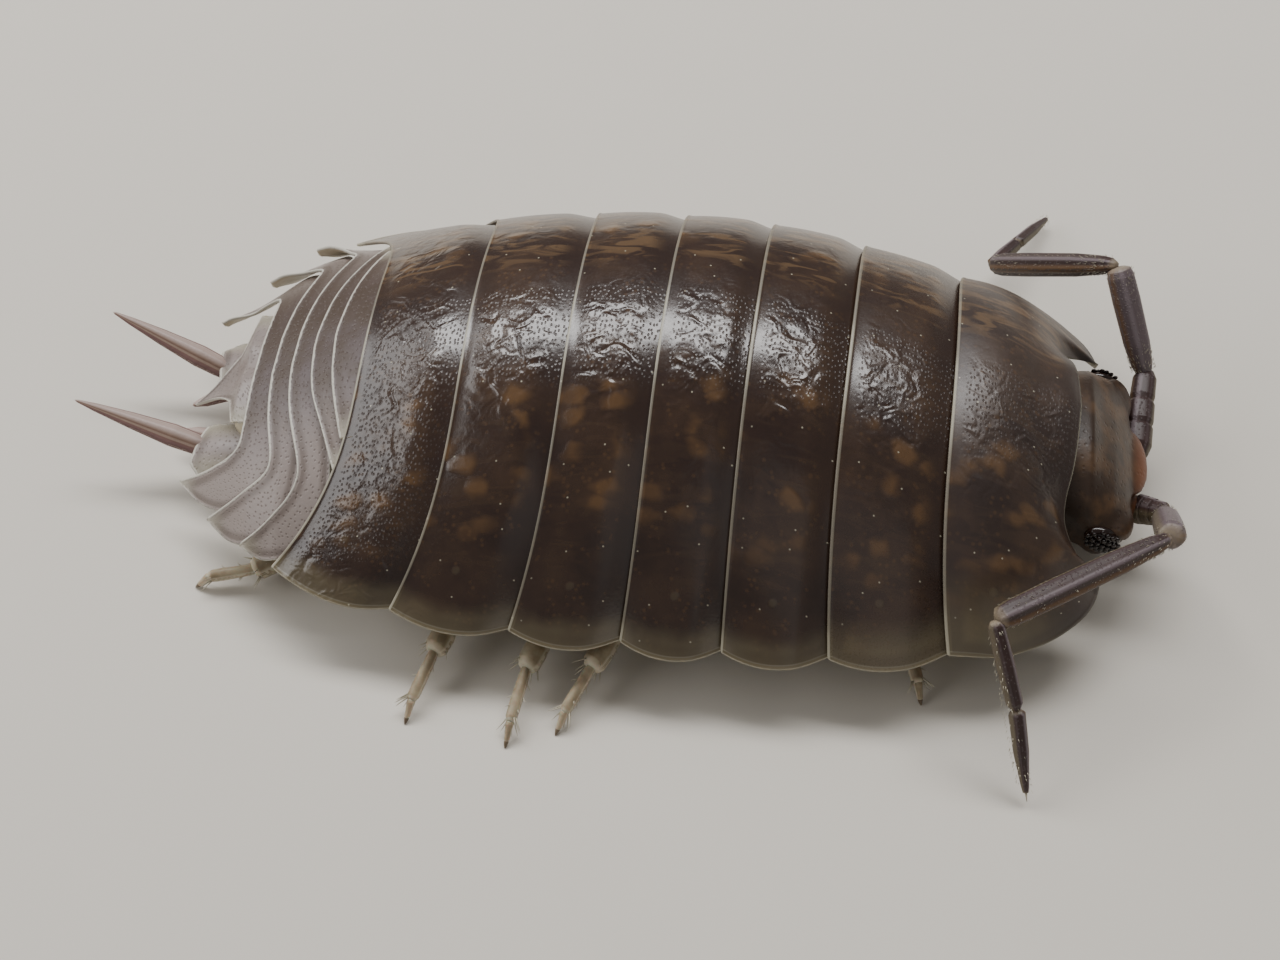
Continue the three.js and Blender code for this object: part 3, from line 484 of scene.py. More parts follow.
def shell(name, outer, thickness, rim, front_rim=False, hidden=0, dull=0.0):
    """A closed plate from the table of points of its outside.

    Rows run across the body and columns from front to rear; the first columns are hidden
    by the plate ahead. The rear edge is rounded over a raised bead, and the sides thin out
    to a round edge.
    """
    across = path_length(outer, 0)
    from_side = np.minimum(across, across[-1:] - across)
    walked = path_length(outer, 1)
    from_rear = walked[:, -1:] - walked
    from_front = walked - walked[:, hidden:hidden + 1]
    normal = outward(outer)
    nearest = np.minimum(from_rear, from_side)
    if front_rim:
        nearest = np.minimum(nearest, walked)
    outer = outer + normal * (BEAD * np.exp(-((nearest / BEAD_WIDTH) ** 2)))[..., None]
    depth = mix(rim, thickness, smooth(from_rear / RIM_BLEND))
    if front_rim:
        depth = mix(rim, depth, smooth(walked / RIM_BLEND))
    edge = np.clip(1 - from_side / (rim * EDGE_ROUND), 0, 1)
    depth = depth * np.sqrt(1 - edge**2)
    inner = outer - normal * depth[..., None]
    heading = unit(outer[:, -1] - outer[:, -2])
    turn = LIP_TURNS[None, :, None]
    half = depth[:, -1:, None] / 2
    lip = outer[:, -1:] + half * ((np.cos(turn) - 1) * normal[:, -1:] + np.sin(turn) * heading[:, None])
    closing = outer[:, :1]
    points = np.concatenate([outer, lip, inner[:, ::-1], closing], axis=1)
    turns = len(LIP_TURNS)

    def around(table):
        """A table of the outside, carried round the lip and back along the inside."""
        lip = np.repeat(table[:, -1:], turns, axis=1)
        return np.concatenate([table, lip, table[:, ::-1], table[:, :1]], axis=1)

    inside = np.zeros(points.shape[:2])
    inside[:, outer.shape[1] + turns:-1] = 1
    return surface(
        name,
        points,
        rear=around(from_rear),
        side=around(from_side),
        across=around(across - across[len(across) // 2]),
        front=around(from_front),
        edge=around(nearest),
        inside=inside,
        dull=np.array(dull),
    )


def sided(place, side):
    """A place given for the left side, on either side."""
    return np.array(place, float) * (1, side, 1)


def capped(points):
    """A table of rings with both ends closed in a point."""
    ends = points[[0, -1]].mean(axis=1, keepdims=True).repeat(points.shape[1], 1)
    return np.concatenate([ends[:1], points, ends[1:]])


def rear_edge(plate, t):
    """The rear edge of a trunk plate; t is -1 at one side and 1 at the other."""
    out = np.abs(t)
    height = plate["edge"] + (plate["crest"] - plate["edge"]) * (1 - out**VAULT_POWER)
    return np.stack([plate["rear"] - plate["sweep"] * out**SWEEP_POWER, plate["half"] * t, height], -1)


def collar(t):
    """The front edge of the first trunk plate, which holds the head between two lobes."""
    plan = along_edge(COLLAR, np.abs(t))
    fall = np.minimum(plan[..., 1] / COLLAR_HALF, 1) ** COLLAR_FALL
    height = COLLAR_EDGE + (COLLAR_CREST - COLLAR_EDGE) * (1 - fall)
    return np.stack([plan[..., 0], plan[..., 1] * np.sign(t), height], -1)


def eased(points, spread):
    """A table's columns with their corners rounded along the rows."""
    reach = 3 * spread
    weight = np.exp(-((np.arange(-reach, reach + 1) / spread) ** 2) / 2)
    weight /= weight.sum()
    before = 2 * points[:1] - points[reach:0:-1]
    after = 2 * points[-1:] - points[-2:-reach - 2:-1]
    padded = np.concatenate([before, points, after])
    return sum(w * padded[i:i + len(points)] for i, w in enumerate(weight))


def trunk_outside(index, rows=151):
    """The outside of a trunk plate as a table of points."""
    plate = TRUNK[index]
    even = np.linspace(-1, 1, rows)
    t = mix(even, np.sin(even * math.pi / 2), CROWD)[:, None]
    start, columns = (0, 9) if index == 0 else (-TUCK, HIDDEN + 3)
    stages = ((start, FINE_FRONT, columns), (FINE_FRONT, FINE_REAR, 20))
    u = [np.linspace(*stage)[:-1] for stage in stages]
    u = np.concatenate([*u, np.linspace(FINE_REAR, 1, 11)])[None, :]
    t, u = np.broadcast_arrays(t, u)
    front = collar(t) if index == 0 else rear_edge(TRUNK[index - 1], t)
    rear = rear_edge(plate, t)
    if index == 0:
        front = mix(front, eased(front, COLLAR_BLUR), smooth(u / COLLAR_EASE)[..., None])
    points = front + (rear - front) * u[..., None]
    seen = np.clip(u, 0, 1)
    arch = 4 * seen * (1 - seen)
    flare = np.abs(t) ** FLARE_POWER
    if index == 0:
        points[..., 2] += COLLAR_BULGE * arch * (1 - flare)
        return points
    steepness = VAULT_POWER * (plate["crest"] - plate["edge"]) / plate["half"]
    slope = steepness * np.abs(t) ** (VAULT_POWER - 1) * np.sign(t)
    normal = unit(np.stack([np.zeros_like(slope), slope, np.ones_like(slope)], -1))
    hidden = np.clip(-u / TUCK, 0, 1)
    lift = CAMBER * arch - SINK * (1 - smooth(seen / RISE_SHARE)) - TUCK_SINK * hidden
    points = points + normal * lift[..., None]
    points[..., 1] += SIDE_BULGE * arch * np.sign(t) * flare
    points[..., 2] -= SIDE_DROOP * arch * flare
    return points


def back_top(x, y):
    """Height of the back over a plan point."""
    edge = look_up(BACK, x, "edge")
    share = np.minimum(np.abs(y) / look_up(BACK, x, "half"), 1)
    return edge + (look_up(BACK, x, "crest") - edge) * (1 - share**VAULT_POWER)


def tail_outside(ring, lift, rows=101, columns=26):
    """The outside of a tail ring as a table of points; its left flap stands up by lift."""
    t = np.linspace(-1, 1, rows)
    front = eased(along_edge(ring["front"], np.abs(t))[:, None], TAIL_BLUR)
    rear = eased(along_edge(ring["rear"], np.abs(t))[:, None], TAIL_BLUR)
    u = np.linspace(0, 1, columns)
    u = mix(u, np.sin(u * math.pi / 2), 0.5)[None, :, None]
    plan = front + (rear - front) * u
    level = smooth((np.abs(t) - LEVEL_START) / LEVEL_SPAN)[:, None]
    step = TAIL_STEP * (1 - u[..., 0]) * (1 - level)
    lift = lift * smooth((t[:, None] - FLAP_START) / FLAP_SPAN)
    lift = lift * mix(FLAP_ROOT_LIFT, 1, u[..., 0])
    height = back_top(plan[..., 0], plan[..., 1]) - step + lift
    return np.stack([plan[..., 0], plan[..., 1] * np.sign(t)[:, None], height], -1)


def telson_outside(rows=61, columns=30):
    """The outside of the tail's end plate as a table of points."""
    d = TELSON
    outline = (
        (d["tip"], 0.0),
        (mix(d["tip"], d["neck"], 0.5), d["point_half"]),
        (d["neck"], d["neck_half"]),
        (d["shoulder"], d["shoulder_half"]),
        (d["corner"], d["half"]),
    )
    t = np.linspace(-1, 1, rows)
    rear = along_edge(outline, np.abs(t))[:, None]
    u = np.linspace(0, 1, columns)[None, :]
    x = mix(d["front"], rear[..., 0], u)
    y = mix(d["half"] * np.abs(t)[:, None], rear[..., 1], u) * np.sign(t)[:, None]
    height = np.interp(x, (d["tip"], d["neck"], d["corner"]), (d["tip_z"], d["neck_z"], d["front_z"]))
    groove = d["groove"] * np.exp(-((y / d["groove_half"]) ** 2))
    groove = groove * smooth((d["front"] - x) / d["groove_rise"])
    return np.stack([x, y, height - d["fall"] * y * y - groove], -1)


def rod(name, start, end, outline, slim, wide, around=24, pale=0.0, ridges=0, depth=0.0, flat=1.0):
    """A tapered rod, closed at both ends; its section can be ridged or flattened."""
    start, end = np.array(start, float), np.array(end, float)
    way = unit(end - start)
    side = unit(np.cross(UP, way))
    over = np.cross(way, side)
    rise, fall = OUTLINES[outline]
    profile = [(0, 0), *((s, r * slim) for s, r in rise), *((s, r * wide) for s, r in fall), (1, 0)]
    shares, radii = np.array(profile).T
    share = np.unique(np.concatenate([shares, np.linspace(0, 1, ROD_RINGS)]))
    radius = np.interp(share, shares, radii)
    angle = np.linspace(0, 2 * math.pi, around + 1)
    wave = 1 + depth * np.cos(ridges * angle)
    spoke = np.cos(angle)[:, None] * side + flat * np.sin(angle)[:, None] * over
    centre = start + (end - start) * share[:, None]
    points = centre[:, None] + radius[:, None, None] * (wave[:, None] * spoke)[None]
    turned = (angle / (2 * math.pi))[None, :]
    return surface(name, points, share=share[:, None], around=turned, pale=np.array(pale))


def ball(centre, radii, tilt=0.0, segments=32):
    """An ellipsoid, tilted nose down about Y."""
    deselect()
    bpy.ops.mesh.primitive_uv_sphere_add(
        segments=segments, ring_count=segments // 2, radius=1, location=centre, scale=radii,
        rotation=(0, tilt, 0),
    )
    bpy.ops.object.transform_apply(location=True, rotation=True, scale=True)
    return bpy.context.object


def add_modifier(piece, kind, **settings):
    """Adds a modifier and applies it."""
    choose(piece)
    modifier = piece.modifiers.new(kind.lower(), kind)
    for key, value in settings.items():
        setattr(modifier, key, value)
    bpy.ops.object.modifier_apply(modifier=modifier.name)


def bristles(name, roots, directions, lengths, radius):
    """Many fine tapered bristles in one mesh, each a copy of one four-sided cone."""
    deselect()
    bpy.ops.mesh.primitive_cone_add(vertices=4, radius1=1, radius2=0.15, depth=1, location=(0, 0, 0.5))
    cone = bpy.context.object
    bpy.ops.object.transform_apply(location=True, rotation=True, scale=True)
    shape = np.array([tuple(v.co) for v in cone.data.vertices])
    faces = [list(p.vertices) for p in cone.data.polygons]
    bpy.data.objects.remove(cone)
    roots = np.asarray(roots, float)
    way = unit(np.asarray(directions, float))
    guide = np.where(np.abs(way[:, 2:]) > 0.9, np.array((1.0, 0, 0)), UP)
    side = unit(np.cross(guide, way))
    over = np.cross(way, side)
    lengths = np.broadcast_to(lengths, len(roots))[:, None, None]
    points = (
        roots[:, None]
        + side[:, None] * shape[None, :, :1] * radius
        + over[:, None] * shape[None, :, 1:2] * radius
        + way[:, None] * shape[None, :, 2:] * lengths
    )
    count = len(shape)
    corners = [[v + i * count for v in face] for i in range(len(roots)) for face in faces]
    mesh = bpy.data.meshes.new(name)
    mesh.from_pydata(points.reshape(-1, 3).tolist(), [], corners)
    piece = bpy.data.objects.new(name, mesh)
    bpy.context.scene.collection.objects.link(piece)
    return piece


# Materials


def shade(red, green, blue):
    """A colour given as it looks, 0 to 255, in the linear values that shaders use."""
    return tuple(((c / 255 + 0.055) / 1.055) ** 2.4 if c > 10 else c / 3294 for c in (red, green, blue))


class Wire:
    """One output in a material. Arithmetic on it adds Math nodes."""

    def __init__(self, paint, socket):
        self.paint = paint
        self.socket = socket

    def __add__(self, other):
        return self.paint.math("ADD", self, other)

    __radd__ = __add__

    def __sub__(self, other):
        return self.paint.math("SUBTRACT", self, other)

    def __rsub__(self, other):
        return self.paint.math("SUBTRACT", other, self)

    def __mul__(self, other):
        return self.paint.math("MULTIPLY", self, other)

    __rmul__ = __mul__

    def __abs__(self):
        return self.paint.math("ABSOLUTE", self, 0.0)


class Paint:
    """A material under construction round its Principled shader."""

    def __init__(self, name, **uniform):
        self.colours = bpy.context.scene.woodlouse_colours
        self.material = bpy.data.materials.new(f"{name}_finish")
        self.material.use_nodes = True
        self.tree = self.material.node_tree
        self.shader = self.tree.nodes["Principled BSDF"]
        for key, value in uniform.items():
            self.shader.inputs[key.replace("_", " ").title().replace("Ior", "IOR")].default_value = value
        place = self.node("ShaderNodeTexCoord", output=3)
        self.where = self.node("ShaderNodeVectorMath", {"operation": "SCALE"}, {0: place, "Scale": 1 / MM})
        self.colour = None

    def node(self, kind, settings=None, sockets=None, output=0):
        """Adds a node with its settings and the values or links of its sockets."""
        made = self.tree.nodes.new(kind)
        for key, value in (settings or {}).items():
            setattr(made, key, value)
        for key, value in (sockets or {}).items():
            self.feed(made.inputs[key], value)
        return Wire(self, made.outputs[output])

    def feed(self, socket, value):
        """Links a wire to a socket, or sets its value, which can be the name of a colour."""
        if isinstance(value, str):
            value = getattr(self.colours, value)
        if isinstance(value, Wire):
            self.tree.links.new(value.socket, socket)
        elif socket.type == "RGBA":
            socket.default_value = (*value[:3], 1)
        else:
            socket.default_value = value

    def math(self, operation, a, b):
        """A Math node."""
        return self.node("ShaderNodeMath", {"operation": operation}, {0: a, 1: b})

    def attribute(self, name):
        """A number stored on the mesh."""
        return self.node("ShaderNodeAttribute", {"attribute_name": name}, output=2)

    def step(self, value, start, end):
        """Eases from 0 at start to 1 at end."""
        sockets = {"Value": value, "From Min": start, "From Max": end}
        return self.node("ShaderNodeMapRange", {"interpolation_type": "SMOOTHSTEP"}, sockets)

    def blend(self, share, a, b):
        """Colour a turning to b by share."""
        return self.node("ShaderNodeMix", {"data_type": "RGBA"}, {0: share, 6: a, 7: b}, output=2)

    def tint(self, share, colour):
        """Turns the colour made so far to another by share."""
        self.colour = self.blend(share, self.colour, colour)

    def along(self):
        """Place along the body, in millimetres."""
        return self.node("ShaderNodeSeparateXYZ", {}, {0: self.where})

    def spread_out(self, along, across):
        """The plate laid flat: millimetres along and across the body, each scaled."""
        sockets = {0: self.along() * along, 1: self.attribute("across") * across}
        return self.node("ShaderNodeCombineXYZ", {}, sockets)

    def noise(self, scale, detail=3.0, vector=None, warp=0.0):
        """Cloudy noise; scale is in features per millimetre."""
        sockets = {
            "Vector": vector or self.where, "Scale": scale, "Detail": detail, "Roughness": 0.55,
            "Distortion": warp,
        }
        return self.node("ShaderNodeTexNoise", {"noise_dimensions": "2D" if vector else "3D"}, sockets)

    def cells(self, scale, vector=None, spread=1.0):
        """Distance to the nearest of a field of scattered points."""
        sockets = {"Vector": vector or self.where, "Scale": scale, "Randomness": spread}
        return self.node("ShaderNodeTexVoronoi", {"voronoi_dimensions": "2D" if vector else "3D"}, sockets)

    def spots(self, distance, size, soft):
        """1 inside round spots of a size, easing to 0 over their soft edge."""
        return 1 - self.step(distance, size - soft, size + soft)

    def line(self, value, place, width, soft):
        """1 on a line where the value is at a place, easing to 0 over its soft edge."""
        return self.spots(abs(value - place), width, soft)

    def bump(self, height, depth, normal=None):
        """A surface raised by height times depth, in millimetres."""
        sockets = {"Height": height, "Distance": depth * MM, "Strength": 1.0}
        if normal:
            sockets["Normal"] = normal
        return self.node("ShaderNodeBump", {}, sockets)

    def grained(self, rough, spread, depth, scale, detail=2.0, normal=None):
        """Ends the material with a fine grain in its roughness and its relief."""
        grain = self.noise(scale, detail)
        return self.done(rough + grain * spread, self.bump(grain, depth, normal))

    def done(self, roughness, normal=None):
        """Feeds the shader and gives the material."""
        self.feed(self.shader.inputs["Base Color"], self.colour)
        self.feed(self.shader.inputs["Roughness"], roughness)
        if normal:
            self.feed(self.shader.inputs["Normal"], normal)
        return self.material


def shell_paint():
    """The trunk plates: dark and glossy, pitted, mottled at the sides, pale at the rims, with painted shadow
    at each plate's front and just inside its rims, painted shade in the pits, and painted light on the rims
    and on the far side's streaks.
    """
    p = Paint("shell", ior=1.68)
    keys = ("rear", "side", "front", "edge", "across", "dull")
    rear, side, front, edge, across, dull = map(p.attribute, keys)
    away = abs(across)
    band = p.step(front, 0.15, 0.6)
    p.colour = p.blend(p.step(p.noise(0.8, 4.0), 0.35, 0.7), "shell_dark", "shell_brown")

    streak = p.noise(1.0, 2.0, p.spread_out(1.1, 4.2), 0.8)
    streaks = p.step(streak, 0.47, 0.64) * p.step(away, 0.4, 1.2) * (1 - p.step(away, 5.0, 6.0)) * band
    # The streaks are painted strong on the far side and faint on the near side, so the far side reads
    # lighter: painted light.
    p.tint(streaks * (p.step(across, -1.5, 0.5) * 0.55 + 0.07), "streak")
    warped = p.cells(1.0, p.spread_out(1.25, 1.7)) + (p.noise(2.6, 1.0) - 0.5) * 0.7
    few = p.step(p.noise(0.9, 1.0), 0.42, 0.58) * p.step(away, 1.2, 1.9) * (1 - p.step(away, 4.2, 5.4))
    kidneys = p.spots(warped, 0.26, 0.17) * few * band
    p.tint(kidneys * 0.52, "mottle")
    freckle = p.spots(p.cells(1.0, p.spread_out(6.0, 6.0)), 0.2, 0.12) * p.step(p.noise(2.2, 1.0), 0.5, 0.62)
    p.tint(freckle * 0.2, "mottle")

    # Painted shadow: the front of each plate, under the rim of the plate ahead, is darkened.
    p.tint((1 - band) * 0.5, "shell_dark")
    margin = 1 - p.step(side + (p.noise(1.5, 2.0) - 0.5) * 0.3, 0.05, dull * 1.1 + 0.75)
    p.tint(margin * 0.62, "margin")
    p.tint(p.line(side, 0.085, 0.012, 0.01) * 0.35, "rim")
    behind = 1 - p.step(p.along(), ORIGIN.x - 4.6, ORIGIN.x - 3.3)
    lit = p.math("MAXIMUM", p.step(across, -2.2, -1.4), behind * p.step(across, -5.6, -4.6))
    lit = lit * (1 - p.step(across, -0.25, 0.2)) * 0.93 + 0.07
    pit = p.spots(p.cells(1.0, p.spread_out(12.5, 8.5), 0.75), 0.21, 0.1) * p.step(rear, 0.12, 0.3) * lit
    # Painted shade: each pit is darkened in colour, mostly inside the lit band; the pits' relief is real.
    p.tint(pit * 0.5, "shell_dark")
    off = p.math("POWER", side - 1.3, 2.0) + p.math("POWER", rear - 0.9, 2.0)
    gland = p.spots(off, 0.006, 0.005)
    p.tint(gland * 0.15, "margin")
    dust = p.spots(p.cells(1.0, p.spread_out(1.1, 1.1)), 0.018, 0.006)
    p.tint(dust * 0.8, "rim")
    # Painted shadow: a dark band just inside each rim and side edge.
    p.tint(p.step(edge, 0.05, 0.09) * (1 - p.step(edge, 0.2, 0.42)) * 0.35, "shell_dark")
    rim = 1 - p.step(edge, 0.01, 0.03)
    # Pale rims, painted brighter inside the lit band as a painted highlight, and strong along the margins.
    p.tint(rim * p.math("MAXIMUM", lit * 0.4 + 0.3, margin * 0.9), "rim")
    p.tint(p.attribute("inside"), "belly")

    worn = p.step(across, -3.0, -1.9) * (1 - p.step(across, -0.6, 0.5)) * 0.8 + 0.2
    worn = p.math("MAXIMUM", worn * (1 - p.step(away, 3.4, 4.6)), behind * 0.6)
    worn = worn * p.step(rear, 0.12, 0.4) * band
    dents = p.noise(2.6, 1.0, p.spread_out(1.0, 1.0), 0.9)
    grain = p.noise(16.0, 2.0)
    normal = None
    for height, depth in (
        (dents * worn, 0.036), (kidneys, 0.007), (pit * -1.0, 0.0045), (gland, 0.004), (grain, 0.0016),
    ):
        normal = p.bump(height, depth, normal)
    return p.done(0.17 + grain * 0.1 + rim * 0.2 + pit * 0.3 + dull * 0.2, normal)


def tail_paint():
    """The tail: lilac-grey with fine specks, paler at the flaps, with thin pale rims, painted shade on its
    far half and painted shadow just inside the rims.
    """
    p = Paint("tail", ior=1.52)
    edge, side, across, dull = map(p.attribute, ("edge", "side", "across", "dull"))
    p.colour = p.blend(p.step(p.noise(1.3, 4.0), 0.35, 0.7), "tail", "tail_brown")
    p.tint(p.math("MAXIMUM", p.step(abs(across), 0.9, 3.2) * 0.75, dull * 0.55), "tail_pale")
    # Painted shade: the far half is browned, leaving the pale near half as a painted sheen; the flaps are
    # paler on both sides.
    far_half_shade = p.step(across, -1.2, 1.2) * (1 - p.step(across, 2.8, 3.8))
    p.tint(far_half_shade * (1 - dull) * 0.65, "tail_brown")
    pit = p.spots(p.cells(1.0, p.spread_out(9.0, 7.0), 0.8), 0.16, 0.1)
    p.tint(pit * 0.4, "shell_brown")
    # Painted shadow: a darker band just inside each rim, between the rings.
    p.tint(p.step(edge, 0.05, 0.1) * (1 - p.step(edge, 0.14, 0.3)) * 0.5, "tail_brown")
    p.tint((1 - p.step(side, 0.05, 0.6)) * 0.55, "rim")
    beads = p.noise(9.0, 1.0) * 0.04
    p.tint((1 - p.step(edge + beads, 0.03, 0.052)) * 0.85, "tail_rim")
    p.tint(p.attribute("inside"), "belly")
    return p.grained(0.34, 0.12, 0.003, 14.0, normal=p.bump(pit * -1.0, 0.006))


def head_paint():
    """The head: dark brown, mottled and finely pitted, with a reddish brow."""
    p = Paint("head", ior=1.48)
    p.colour = p.blend(p.step(p.noise(1.7), 0.42, 0.7) * 0.8, "head_dark", "head_light")
    dot = p.spots(p.cells(8.0), 0.24, 0.12)
    p.tint(dot * 0.3, "shell_dark")
    p.tint(p.step(p.along(), ORIGIN.x + 9.1, ORIGIN.x + 9.45) * 0.75, "brow")
    return p.grained(0.36, 0.12, 0.003, 10.0, 3.0, p.bump(dot * -1.0, 0.0035))


def feeler_paint():
    """The feelers: purple-brown, scaly, with a bluish ridge, a pale and a brown edge."""
    p = Paint("feeler", ior=1.48)
    around, share, pale = map(p.attribute, ("around", "share", "pale"))
    fleck = p.spots(p.cells(16.0), 0.26, 0.12)
    p.colour = p.blend(p.noise(1.5), "feeler", "feeler_dark")
    p.tint(pale * 0.6, "feeler_ridge")
    stripe = p.step(p.math("COSINE", around * (RIDGES["ridges"] * 2 * math.pi), 0.0), 0.6, 0.98)
    p.tint(stripe * 0.15, "feeler_ridge")
    near = p.math("MINIMUM", around, 1 - around)
    for place, width, strength, colour in (
        (0.17, 0.03, 0.55, "feeler_ridge"),
        (0.45, 0.06, 0.5, "margin"),
        (0.02, 0.05, 0.6, "mottle"),
    ):
        p.tint(p.line(near, place, width, width * 0.6) * strength, colour)
    p.tint(fleck * 0.16, "feeler_ridge")
    p.tint((1 - p.step(p.math("MINIMUM", share, 1 - share), 0.005, 0.04)) * 0.6, "joint")
    return p.done(0.46 + fleck * 0.1, p.bump(fleck, 0.006))


def spear_paint():
    """The tail spears: purple-brown with pale edges and a pale top, the top partly a painted highlight."""
    p = Paint("spear", ior=1.48)
    around = p.attribute("around")
    top = abs(around - 0.25)
    p.colour = p.blend(p.noise(2.5) * 0.5, "spear", "feeler_dark")
    # A pale top facet, painted paler as a painted highlight from above.
    p.tint((1 - p.step(top, 0.06, 0.12)) * 0.6, "spear_edge_and_highlight")
    p.tint(p.line(top, 0.13, 0.02, 0.012) * 0.75, "spear_edge_and_highlight")
    p.tint(p.line(abs(around - 0.5), 0.36, 0.05, 0.03) * 0.5, "mottle")
    p.tint((1 - p.step(p.attribute("share"), 0.0, 0.2)) * 0.6, "tail")
    return p.grained(0.38, 0.1, 0.006, 14.0)


def limb_paint():
    """The legs: pale and a little translucent, darker inside."""
    p = Paint("limb", ior=1.45, subsurface_weight=0.25, subsurface_scale=0.0003)
    share = p.attribute("share")
    p.colour = p.blend(p.step(p.noise(2.2), 0.3, 0.7), "limb_dark", "limb")
    edge = p.step(p.math("COSINE", p.attribute("around") * (4 * math.pi), 0.0), 0.3, 0.9)
    p.tint(edge * 0.7, "limb_edge")
    p.tint((1 - p.step(p.math("MINIMUM", share, 1 - share), 0.02, 0.1)) * 0.6, "limb_edge")
    return p.grained(0.4, 0.12, 0.005, 12.0)


def skin_paint():
    """The belly and the gill plates: pale cream."""
    p = Paint("skin", ior=1.42)
    p.colour = p.blend(p.step(p.noise(1.4), 0.3, 0.7), "belly", "limb")
    return p.grained(0.5, 0.1, 0.01, 8.0, 3.0)


def plain_paint(name, ior, scale, detail, first, second, rough, spread):
    """A plain finish: one soft noise between two colours and in the roughness."""
    p = Paint(name, ior=ior)
    cloud = p.noise(scale, detail)
    p.colour = p.blend(cloud, first, second)
    return p.done(rough + cloud * spread)


# Index of refraction, scale and detail of the noise, both colours, roughness and its spread

PLAIN_PAINTS = dict(
    eye=(1.55, 6.0, 2.0, "eye", "shell_dark", 0.1, 0.08),
    claw=(1.5, 3.0, 3.0, "claw", "limb_dark", 0.3, 0.1),
    bristle=(1.45, 4.0, 3.0, "limb_edge", "rim", 0.35, 0.1),
)
PAINTS = dict(
    shell=shell_paint, tail=tail_paint, head=head_paint, feeler=feeler_paint, spear=spear_paint,
    limb=limb_paint, skin=skin_paint,
)


def paint(kind):
    """The material of a kind, made once."""
    made = bpy.data.materials.get(f"{kind}_finish")
    if made:
        return made
    return PAINTS[kind]() if kind in PAINTS else plain_paint(kind, *PLAIN_PAINTS[kind])


# Settings


def tone(name, description, red, green, blue):
    """A colour that a user can change."""
    return bpy.props.FloatVectorProperty(
        name=name, description=description, subtype="COLOR", size=3, min=0, max=1,
        default=shade(red, green, blue),
    )


def length(name, description, size):
    """A size in millimetres that a user can change."""
    return bpy.props.FloatProperty(
        name=name, description=description, default=size * MM, min=0, unit="LENGTH",
    )


def power(name, description, watts):
    """A light's power that a user can change."""
    return bpy.props.FloatProperty(name=name, description=description, default=watts, min=0, unit="POWER")


class WoodlouseColours(bpy.types.PropertyGroup):
    """Colours of the animal's parts."""

    # Also used for painted shade: at the plates' fronts, just inside their rims and in the pits.
    shell_dark: tone("Shell, dark", "Darkest tone of the trunk plates", 41, 25, 19)
    shell_brown: tone("Shell, brown", "Lighter tone of the trunk plates", 60, 42, 30)
    streak: tone("Streaks", "Wavy lengthwise streaks of the trunk plates", 106, 82, 56)
    mottle: tone("Mottles", "Orange-brown marks of the trunk plates", 110, 80, 48)
    margin: tone("Margins", "Free side edges of the trunk plates", 122, 112, 86)
    # On the trunk plates this is also painted brighter as a highlight where the lit band crosses.
    rim: tone("Rims", "Thin rims of all plates", 176, 170, 150)
    tail_rim: tone("Tail, rims", "Beaded rims of the tail plates", 200, 196, 184)
    tail: tone("Tail", "Main tone of the tail plates", 84, 72, 72)
    # Also used for painted shade on the tail's far half and just inside its rims.
    tail_brown: tone("Tail, brown", "Darker tone of the tail plates", 66, 50, 38)
    tail_pale: tone("Tail, flaps", "Tone of the tail's side flaps", 164, 152, 146)
    head_dark: tone("Head, dark", "Darker tone of the head", 50, 36, 26)
    head_light: tone("Head, light", "Lighter tone of the head", 88, 64, 42)
    brow: tone("Brow", "Reddish brow over the feelers", 120, 70, 42)
    eye: tone("Eyes", "The eyes", 10, 8, 9)
    feeler: tone("Feelers", "Main tone of the feelers", 60, 37, 33)
    feeler_dark: tone("Feelers, dark", "Darker tone of feelers and spears", 38, 25, 26)
    feeler_ridge: tone("Feelers, ridges", "Pale ridges and flecks of the feelers", 124, 112, 116)
    joint: tone("Joints", "Soft joints of the feelers", 150, 136, 116)
    spear: tone("Spears", "Main tone of the tail spears", 138, 106, 102)
    # Also the spears' pale top, partly a painted highlight.
    spear_edge_and_highlight: tone("Spears, edges", "Pale edges of the tail spears", 196, 178, 168)
    limb: tone("Legs", "Main tone of the legs", 176, 164, 138)
    limb_dark: tone("Legs, dark", "Darker tone of the legs", 128, 114, 90)
    limb_edge: tone("Legs, edges", "Pale edges of the legs", 206, 198, 178)
    belly: tone("Belly", "Underside", 176, 164, 138)
    claw: tone("Claws", "Tips of the feet", 70, 46, 30)


class WoodlouseSizes(bpy.types.PropertyGroup):
    """Sizes of the animal's parts."""

    shell_thickness: length("Shell", "Thickness of the trunk plates", 0.13)
    tail_thickness: length("Tail", "Thickness of the tail plates", 0.12)
    rim_thickness: length("Rim", "Thickness of the plates at their rear rims", 0.07)
    hair_length: length("Feeler hairs", "Length of the hairs on the feelers", 0.075)
    spine_length: length("Leg spines", "Length of the stout spines on the legs", 0.34)


class WoodlouseStage(bpy.types.PropertyGroup):
    """Floor, light and camera."""

    floor: tone("Floor", "The plain floor", 214, 208, 198)
    soft_light: power("Soft light", "Power of the large overhead light", 0.3)
    tail_light: power("Tail light", "Power of the light behind the tail", 0.12)
    fill_light: power("Fill light", "Power of the light from the camera's side", 0.008)
    camera_distance: length("Camera distance", "From the camera to the animal's middle", 28.8)


# Pieces


class WOODLOUSE_OT_trunk(bpy.types.Operator):
    """Builds the seven trunk plates, each tucked under the one ahead"""

    bl_idname = "woodlouse.trunk"
    bl_label = "Trunk plates"

    def execute(self, context):
        for index in range(len(TRUNK)):
            first = index == 0
            piece = shell(
                f"shell_plate_{index + 1}", trunk_outside(index), size("shell_thickness"),
                size("rim_thickness"), front_rim=first, hidden=0 if first else HIDDEN,
                dull=DULL.get(index, 0.0),
            )
            finish(piece, "shell", "shell", f"trunk_plate_{index + 1}")
        return {"FINISHED"}


